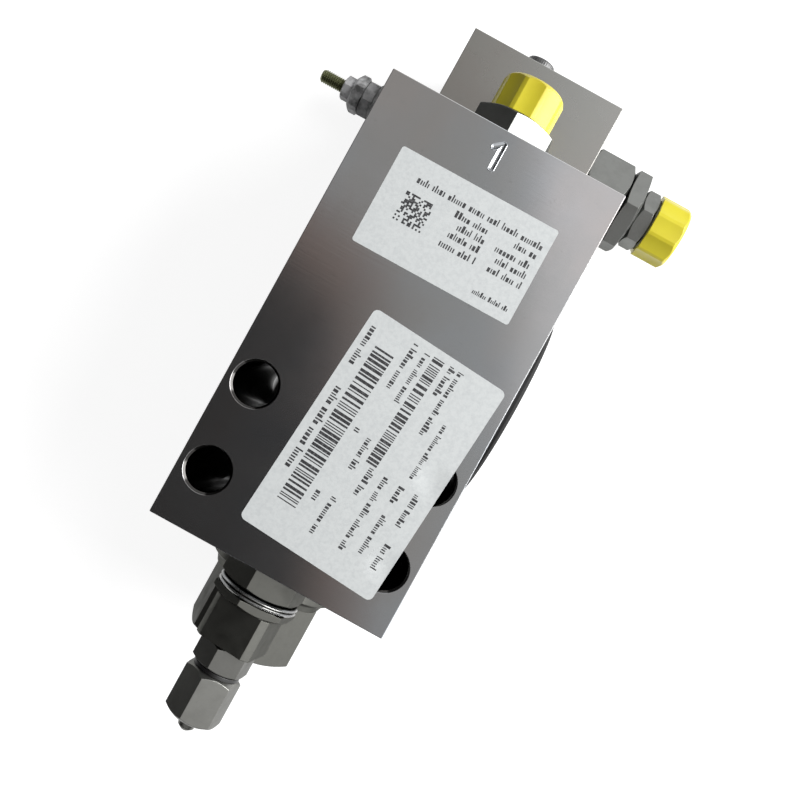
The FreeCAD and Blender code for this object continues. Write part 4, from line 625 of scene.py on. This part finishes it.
def threaded_stud(name, material):
    """The adjusting stud: a real thread from end to end, and a chamfer at each end."""
    low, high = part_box("brake_adjusting_screw")
    radius = (high.z - low.z) / 2
    length = high.x - low.x
    out = thread_depth(STUD_PITCH, radius, radius - STUD_THREAD_DEEP, STUD_CREST_FLAT)
    rings = [(0.0, radius - STUD_CHAMFER)]
    rings += thread_rings(STUD_CHAMFER, length - 2 * STUD_CHAMFER, STUD_PITCH, out)
    rings.append((length, radius - STUD_CHAMFER))
    shape = bmesh.new()
    loops = lathe(shape, rings, THREAD_SIDES)
    close_loop(shape, loops[0], 0.0)
    close_loop(shape, loops[-1], length)
    bmesh.ops.recalc_face_normals(shape, faces=shape.faces)
    start = Vector((high.x, (low.y + high.y) / 2, (low.z + high.z) / 2))
    shape.transform(Matrix.Translation(start) @ along((-1, 0, 0)))
    stud = link_mesh(name, shape, material)
    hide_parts("brake_adjusting_screw")
    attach(stud, "brake_screw")


finish_with(blotched_zinc("adjuster_zinc"),
            "brake_cartridge_body", "brake_cartridge_nut", "brake_lock_nut")
stud_finish = plated_steel("olive_stud", STUD_OLIVE, 0.42, BROKEN_EDGE)
threaded_stud("brake_stud_threaded", stud_finish)
finish_with(stud_finish, "brake_adjusting_screw")


# Working parts inside, and seals
# Spools, poppets, seats and spring plates are hardened and finely ground, and their springs are
# oiled black wire that closes up between its two ends. O-rings of black rubber seal each joint
# and each screwed-in piece.

HARDENED = (0.60, 0.60, 0.60, 1)
SPRING_WIRE = (0.30, 0.30, 0.31, 1)
RUBBER_BLACK = (0.022, 0.022, 0.023, 1)
RUBBER_DUSTY = (0.07, 0.07, 0.068, 1)
DUST_DEEP = 0.05 * MM
SAME_POINT = 0.001 * MM
WHOLE = (0, 1)
FIRST_HALF = (0, 0.5)
SECOND_HALF = (0.5, 1)

finish_with(plated_steel("inner_steel", HARDENED, 0.25, wear=0.2),
            "main_spring_seat", "main_spool", "check_poppet", "check_retainer", "pilot_piston",
            "damping_orifice", "relief_seat", "relief_poppet", "relief_spring_seat",
            "relief_adjusting_screw", "brake_spool", "brake_spring_seat")
spring_finish = plated_steel("spring_steel", SPRING_WIRE, 0.38)
finish_with(spring_finish, "main_spring", "check_spring", "relief_spring", "brake_spring")


def cut_coil(shape, place, axis, side):
    """Cut away what lies beyond a plane across the coil, and close the cut."""
    outward = Vector((0, 0, 0))
    outward[axis] = side
    whole_coil = shape.verts[:] + shape.edges[:] + shape.faces[:]
    cut = bmesh.ops.bisect_plane(shape, geom=whole_coil, plane_co=place, plane_no=outward,
                                 clear_outer=True)
    edges = [part for part in cut["geom_cut"] if isinstance(part, bmesh.types.BMEdge)]
    bmesh.ops.triangle_fill(shape, edges=edges)


def live_coil(name, node, axis, shares):
    """A length of a spring, between two shares of its run."""
    low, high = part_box(node)
    shape = bmesh.new()
    shape.from_mesh(nodes[node].data)
    shape.transform(nodes[node].matrix_world)
    bmesh.ops.remove_doubles(shape, verts=shape.verts[:], dist=SAME_POINT)
    for share, side in zip(shares, (-1, 1)):
        end = (low + high) / 2
        end[axis] = low[axis] + (high[axis] - low[axis]) * share
        if 0 < share < 1:
            cut_coil(shape, end, axis, side)
    coil = link_mesh(name, shape, spring_finish)
    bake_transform(coil)
    return coil


def seal_rubber(name):
    """Black rubber with a little pale dust on it."""
    material, tree, shader = new_finish(name)
    dust = noise(tree, 500, 4, 0.6)
    share = span(tree, dust, 0.5, 0.8, 0, 0.5)
    feed(tree, shader.inputs["Base Color"],
         blend_colour(tree, share, RUBBER_BLACK, RUBBER_DUSTY))
    shader.inputs["Roughness"].default_value = 0.55
    feed(tree, shader.inputs["Normal"], add_bump(tree, dust, 0.2, DUST_DEEP))
    return material


coil = live_coil("main_spring_coil", "main_spring", ALONG_Y, WHOLE)
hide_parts("main_spring")
coil = live_coil("check_spring_coil", "check_spring", ALONG_Y, WHOLE)
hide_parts("check_spring")
coil = live_coil("relief_spring_foot", "relief_spring", ALONG_Y, FIRST_HALF)
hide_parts("relief_spring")
live_coil("relief_spring_head", "relief_spring", ALONG_Y, SECOND_HALF)
coil = live_coil("brake_spring_foot", "brake_spring", ALONG_X, FIRST_HALF)
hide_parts("brake_spring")
live_coil("brake_spring_head", "brake_spring", ALONG_X, SECOND_HALF)

finish_with(seal_rubber("seal_rubber"), "joint_face_o_rings", "motor_port_o_ring",
            "main_plug_o_ring", "relief_body_o_ring", "drain_port_o_ring",
            "side_fitting_o_ring", "brake_cartridge_o_ring")


# Stickers
# Two thin pale paper stickers lie on the front face, the lower one a little askew, and they sink
# slightly over the bolt holes. Their print is plain bars, dots and strokes that say nothing.

LABEL_THICK = 0.12 * MM
LABEL_GAP = 0.01 * MM
INK_THICK = 0.02 * MM
HOLE_DIP = 0.35 * MM
PRINT_MARGIN = 1.6
UPPER_PLACE = (0.65 * MM, 77.85 * MM)
UPPER_SIZE = (50.3 * MM, 30.3 * MM)
UPPER_CORNER = 0.8 * MM
UPPER_DOTS = (-18.0, -4.3, 8.9, 16)
UPPER_LINES = [(-16.9, 7.8, 40.5, 2.1), (-2.9, 4.4, 11.0, 2.1), (16.0, 4.8, 7.5, 2.1),
               (-0.6, 1.4, 8.8, 2.1), (11.7, 1.4, 11.8, 2.1), (-1.9, -1.5, 10.2, 2.1),
               (13.3, -1.5, 10.3, 2.1), (-3.0, -4.8, 11.5, 2.1), (12.4, -4.6, 11.2, 2.1),
               (11.8, -12.0, 11.4, 1.5)]
LOWER_PLACE = (10.2 * MM, 12.4 * MM)
LOWER_SIZE = (44.1 * MM, 70.4 * MM)
LOWER_TURN = -4.3
LOWER_CORNER = 1.7 * MM
LOWER_BARS = [(-16.2, -24.6, 51.7, 6.1), (-0.7, -2.6, 36.6, 3.5)]
LOWER_LINES = [(-20.2, 18.2, 14.0, 2.2), (-19.4, -15.9, 27.3, 2.4), (-7.5, 18.2, 15.0, 2.0),
               (-3.5, 16.1, 16.6, 1.8), (4.6, 23.6, 9.9, 2.0), (7.4, 12.2, 21.3, 1.8),
               (-8.4, 2.8, 1.8, 2.2), (-4.0, -6.8, 11.4, 2.0), (12.0, 0.2, 18.0, 1.6),
               (1.2, -12.1, 8.9, 2.0), (6.0, -27.3, 24.2, 1.9), (-8.0, -19.8, 3.9, 2.2),
               (-3.3, -28.0, 12.1, 1.9), (11.0, -8.4, 5.8, 1.9), (11.4, -25.2, 14.2, 1.9),
               (16.0, -13.1, 11.2, 1.8), (16.6, -27.0, 8.5, 2.0)]
STICKER_COLUMNS = 60
STICKER_ROWS = 60
CORNER_ROWS = 6
DOTS_SEED = 3
UPPER_SEED = 20
BARS_SEED = 51
LOWER_SEED = 60
DOT_CHANCE = 0.52
DOT_FILL = 0.96
PAPER_PALE = (0.71, 0.735, 0.735, 1)
PAPER_GREY = (0.63, 0.655, 0.66, 1)
RIPPLE_DEEP = 0.25 * MM
FIBRE_DEEP = 0.03 * MM
INK_BLACK = (0.03, 0.03, 0.033, 1)
INK_RUBBED = (0.26, 0.26, 0.27, 1)


def sticker_paper(name):
    """Pale coated paper: fine fibres, and slow ripples in its shine."""
    material, tree, shader = new_finish(name)
    fibres = noise(tree, 900, 4, 0.6)
    ripple = noise(tree, 55, 2, 0.5)
    share = span(tree, fibres, 0.4, 0.7, 0, 1)
    feed(tree, shader.inputs["Base Color"], blend_colour(tree, share, PAPER_PALE, PAPER_GREY))
    shader.inputs["Roughness"].default_value = 0.38
    shader.inputs["Coat Weight"].default_value = 0.25
    shader.inputs["Coat Roughness"].default_value = 0.25
    grain = add_bump(tree, fibres, 0.08, FIBRE_DEEP)
    feed(tree, shader.inputs["Normal"], add_bump(tree, ripple, 0.3, RIPPLE_DEEP, grain))
    return material


def printed_ink(name):
    """Black ink, rubbed grey in places."""
    material, tree, shader = new_finish(name)
    rubbed = span(tree, noise(tree, 1500, 3, 0.7), 0.5, 0.75, 0, 0.6)
    feed(tree, shader.inputs["Base Color"], blend_colour(tree, rubbed, INK_BLACK, INK_RUBBED))
    shader.inputs["Roughness"].default_value = 0.45
    return material


def face_height(x, y):
    """Height of a sticker's underside: it sinks a little where a bolt hole is under it."""
    away = math.hypot(abs(x) - HOLE_SPREAD[0], abs(y) - HOLE_SPREAD[1])
    if away >= HOLE_RADIUS:
        return FRONT
    return FRONT - HOLE_DIP * (0.5 + 0.5 * math.cos(math.pi * away / HOLE_RADIUS))


def sticker(name, centre, size, turn, corner):
    """A thin sheet with round corners that follows the face."""
    width, height = size
    shape = bmesh.new()
    rows = [-height / 2 + corner * (1 - math.cos(math.pi / 2 * step / CORNER_ROWS))
            for step in range(CORNER_ROWS + 1)]
    rows += [-height / 2 + corner + (height - 2 * corner) * step / STICKER_ROWS
             for step in range(1, STICKER_ROWS)]
    rows += [-value for value in reversed(rows[:CORNER_ROWS + 1])]
    swing = Matrix.Rotation(math.radians(turn), 2)
    layers = []
    for lift in (0.0, LABEL_THICK):
        layer = []
        for across in rows:
            over = max(0.0, abs(across) - (height / 2 - corner))
            half = width / 2 - corner + math.sqrt(max(0.0, corner ** 2 - over ** 2))
            line = []
            for column in range(STICKER_COLUMNS + 1):
                local = Vector((half * (2 * column / STICKER_COLUMNS - 1), across))
                x, y = swing @ local + Vector(centre)
                line.append(shape.verts.new((x, y, face_height(x, y) + LABEL_GAP + lift)))
            layer.append(line)
        layers.append(layer)
    for layer in layers:
        for low, high in zip(layer, layer[1:]):
            for column in range(STICKER_COLUMNS):
                shape.faces.new((low[column], low[column + 1], high[column + 1], high[column]))
    edges = [[layer[0] for layer in layers], [layer[-1] for layer in layers]]
    edges.append([[line[0] for line in layer] for layer in layers])
    edges.append([[line[-1] for line in layer] for layer in layers])
    for low, high in edges:
        for index in range(len(low) - 1):
            shape.faces.new((low[index], low[index + 1], high[index + 1], high[index]))
    bmesh.ops.recalc_face_normals(shape, faces=shape.faces)
    piece = link_mesh(name, shape, paper)
    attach(piece, "root")


class Print:
    """Ink on a sticker, drawn as small thin blocks in the sticker's own axes, in mm."""

    def __init__(self, centre, size, turn):
        self.shape = bmesh.new()
        self.centre = Vector(centre)
        self.half = [side / 2 / MM - PRINT_MARGIN for side in size]
        self.swing = Matrix.Rotation(math.radians(turn), 2)

    def block(self, x, y, width, height):
        """One thin raised block of ink."""
        corners = [(x, y), (x + width, y), (x + width, y + height), (x, y + height)]
        low = []
        high = []
        for corner in corners:
            at = self.swing @ (Vector(corner) * MM) + self.centre
            base = face_height(at.x, at.y) + LABEL_THICK + LABEL_GAP
            low.append(self.shape.verts.new((at.x, at.y, base)))
            high.append(self.shape.verts.new((at.x, at.y, base + INK_THICK)))
        self.shape.faces.new(high)
        for index in range(4):
            after = (index + 1) % 4
            self.shape.faces.new((low[index], low[after], high[after], high[index]))

    def bars(self, x, y, length, depth, seed):
        """Plain bars of mixed widths up the sticker, which encode nothing."""
        rng = random.Random(seed)
        at = 0.0
        while at < length - 1.2:
            thick = rng.choice((0.32, 0.32, 0.6, 0.9))
            self.block(x, y + at, depth, thick)
            at += thick + rng.choice((0.32, 0.45, 0.8))

    def strokes(self, x, y, length, size, seed, upright=False):
        """A line of plain strokes in groups, with no letters in it."""
        rng = random.Random(seed)
        room = self.half[1] - y if upright else self.half[0] - x
        end = min(length, room)
        at = 0.0
        while True:
            for _ in range(rng.randint(4, 8)):
                tall = size * rng.choice((0.62, 0.62, 0.7, 1.0))
                wide = size * rng.choice((0.15, 0.19, 0.38))
                if at + wide > end:
                    return
                if upright:
                    self.block(x, y + at, tall, wide)
                else:
                    self.block(x + at, y, wide, tall)
                at += wide + size * 0.17
            at += size * 0.45

    def dots(self, x, y, side, cells, seed):
        """A square of dots at random, which encodes nothing."""
        rng = random.Random(seed)
        cell = side / cells
        dot = cell * DOT_FILL
        for row in range(cells):
            for column in range(cells):
                if rng.random() < DOT_CHANCE:
                    self.block(x + column * cell, y + row * cell, dot, dot)

    def finish(self, name):
        """The print as one piece that lies on the front face."""
        piece = link_mesh(name, self.shape, ink, smooth=False)
        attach(piece, "root")


paper = sticker_paper("label_paper")
ink = printed_ink("printed_ink")

sticker("upper_sticker", UPPER_PLACE, UPPER_SIZE, 0, UPPER_CORNER)
sheet = Print(UPPER_PLACE, UPPER_SIZE, 0)
sheet.dots(*UPPER_DOTS, DOTS_SEED)
for number, line in enumerate(UPPER_LINES):
    sheet.strokes(*line, UPPER_SEED + number)
sheet.finish("upper_sticker_print")

sticker("lower_sticker", LOWER_PLACE, LOWER_SIZE, LOWER_TURN, LOWER_CORNER)
sheet = Print(LOWER_PLACE, LOWER_SIZE, LOWER_TURN)
for number, code in enumerate(LOWER_BARS):
    sheet.bars(*code, BARS_SEED + number)
for number, line in enumerate(LOWER_LINES):
    sheet.strokes(*line, LOWER_SEED + number, upright=True)
sheet.finish("lower_sticker_print")


# Floor
# A plain white table top. It keeps a faint shadow of the object, and under the main block its glow
# is cut away, a painted shadow.

FLOOR_COLOUR = (0.45, 0.45, 0.45, 1)
FLOOR_GLOW = 0.85
FLOOR_NEAR = 0.3
FLOOR_FAR = 1.2
FLOOR_SIZE = (6, 6)
FLOOR_PLACE = Vector((0, 0, -0.5 * MM))
UNDER_BLOCK = 4 * MM


def surface_plane(name, size, place, aim, material):
    """A flat rectangle that faces a direction, for the floor and the side cards."""
    shape = bmesh.new()
    width, height = size
    corners = [(-width / 2, -height / 2, 0), (width / 2, -height / 2, 0),
               (width / 2, height / 2, 0), (-width / 2, height / 2, 0)]
    shape.faces.new([shape.verts.new(corner) for corner in corners])
    shape.transform(Matrix.Translation(place) @ along(aim))
    piece = link_mesh(name, shape, material, smooth=False)
    return piece


def seen_share(tree):
    """1 for what the camera, gloss and glass see, 0 for diffuse light."""
    path = add_node(tree, "LightPath")
    straight = path.outputs["Is Camera Ray"]
    seen = calculate(tree, "MAXIMUM", straight, path.outputs["Is Glossy Ray"])
    return calculate(tree, "MAXIMUM", seen, path.outputs["Is Transmission Ray"])


def beyond_block(tree):
    """0 on the floor under the main block, 1 clear of it."""
    low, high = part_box("main_block")
    place = axes_in(tree)
    outs = []
    for axis in range(2):
        middle = (low[axis] + high[axis]) / 2
        half = (high[axis] - low[axis]) / 2
        away = calculate(tree, "ABSOLUTE", calculate(tree, "SUBTRACT", place[axis], middle))
        outs.append(calculate(tree, "SUBTRACT", away, half))
    return span(tree, calculate(tree, "MAXIMUM", *outs), -UNDER_BLOCK, 0, 0, 1)


def dull_stage(name, colour):
    """A stage material with no gloss of its own."""
    material, tree, shader = new_finish(name)
    shader.inputs["Base Color"].default_value = colour
    shader.inputs["Roughness"].default_value = 1.0
    shader.inputs["Specular IOR Level"].default_value = 0.0
    return material, tree, shader


floor, tree, shader = dull_stage("floor", FLOOR_COLOUR)
shader.inputs["Emission Color"].default_value = (1, 1, 1, 1)
away = add_node(tree, "VectorMath", operation="LENGTH")
tree.links.new(place_in(tree), away.inputs[0])
glow = span(tree, away.outputs["Value"], FLOOR_NEAR, FLOOR_FAR, FLOOR_GLOW, 1.0)
# The glow fades out under the main block: a painted shadow.
glow = calculate(tree, "MULTIPLY", beyond_block(tree), glow)
feed(tree, shader.inputs["Emission Strength"], calculate(tree, "MULTIPLY", seen_share(tree), glow))
surface_plane("floor", FLOOR_SIZE, FLOOR_PLACE, UP, floor)


# Cards around the object
# Grey and dark cards stand and hang around bright metal so that its shine has something to show.
# They are seen by gloss alone and cast no shadow.

DARK_OUTLINE = [(-0.09, 0.085), (-1.4, 0.50), (-1.4, -1.0), (0.375, -1.0)]
DARK_HEIGHT = 0.80
CARD_DARK = (0.05, 0.05, 0.05, 1)
BROWN_OUTLINE = [(-1.4, 0.59), (-0.065, 0.14), (0.433, -1.0), (0.345, -1.0), (-0.11, 0.06),
                 (-1.4, 0.468)]
BROWN_HEIGHT = 0.81
CARD_BROWN = (0.28, 0.215, 0.19, 1)
GREY_OUTLINE = [(-0.28, 1.0), (-1.4, 1.0), (-1.4, -1.0), (0.62, -1.0)]
GREY_HEIGHT = 0.85
CARD_GREY = (0.45, 0.445, 0.43, 1)
NO_COLOUR = (0, 0, 0, 1)
LEFT_CARD = ((1.0, 2.4), (-0.9, 0.0, 0.5), (1, 0, 0))
LEFT_FLAG = ((0.30, 0.7), (-0.2, -0.1, 0.15), (1, 0, 0))
FOOT_FLAG = ((0.5, 0.15), (0.0, -0.25, 0.075), (0, 1, 0))


def gloss_only(card):
    """Leave a card to gloss alone."""
    card.visible_camera = False
    card.visible_diffuse = False
    card.visible_shadow = False
    card.visible_transmission = False


def hung_card(name, outline, height, colour):
    """A flat card over the object, of an even colour."""
    material, tree, shader = dull_stage(name, NO_COLOUR)
    shader.inputs["Emission Color"].default_value = colour
    shader.inputs["Emission Strength"].default_value = 1.0
    shape = bmesh.new()
    shape.faces.new([shape.verts.new(corner + (height,)) for corner in outline])
    card = link_mesh(name, shape, material, smooth=False)
    gloss_only(card)


def dark_card(name, size, place, aim):
    """A dark upright card at one side."""
    material = dull_stage(name, CARD_DARK)[0]
    gloss_only(surface_plane(name, size, Vector(place), aim, material))


hung_card("dark_above", DARK_OUTLINE, DARK_HEIGHT, CARD_DARK)
hung_card("brown_above", BROWN_OUTLINE, BROWN_HEIGHT, CARD_BROWN)
hung_card("grey_above", GREY_OUTLINE, GREY_HEIGHT, CARD_GREY)
dark_card("dark_left", *LEFT_CARD)
dark_card("flag_left", *LEFT_FLAG)
dark_card("flag_foot", *FOOT_FLAG)


# Light
# One wide lamp at the right and above, as a window beside the table, and an even pale room.

WORLD_LEVEL = 0.22
KEY_PLACE = Vector((0.92, 0.42, 0.58))
KEY_AIM = Vector((0, 0.03, 0.04))
KEY_SIZE = 1.2
KEY_POWER = 26.5

room = bpy.data.worlds.new("studio")
scene.world = room
room.use_nodes = True
tree = room.node_tree
background = tree.nodes["Background"]
background.inputs["Color"].default_value = (1, 1, 1, 1)
feed(tree, background.inputs["Strength"], span(tree, seen_share(tree), 0, 1, WORLD_LEVEL, 1))

key = bpy.data.lights.new("key", "AREA")
key.shape = "DISK"
key.size = KEY_SIZE
key.energy = KEY_POWER
lamp = bpy.data.objects.new("key", key)
scene.collection.objects.link(lamp)
lamp.location = KEY_PLACE
lamp.rotation_euler = (KEY_AIM - KEY_PLACE).to_track_quat("-Z", "Y").to_euler()


# Camera
# It looks straight down on the front face from about a forearm's length, and the object lies
# turned to one side under it.

CAMERA_PLACE = Vector((9.4, 29.65, 351.6)) * MM
CAMERA_TURN = 28.9
CAMERA_LENS = 42.5
CAMERA_SENSOR = 36
CAMERA_CLIP = 0.01

lens = bpy.data.cameras.new("camera")
lens.lens = CAMERA_LENS
lens.sensor_width = CAMERA_SENSOR
lens.clip_start = CAMERA_CLIP
camera = bpy.data.objects.new("camera", lens)
scene.collection.objects.link(camera)
camera.location = CAMERA_PLACE
camera.rotation_euler = (0, 0, math.radians(CAMERA_TURN))
scene.camera = camera
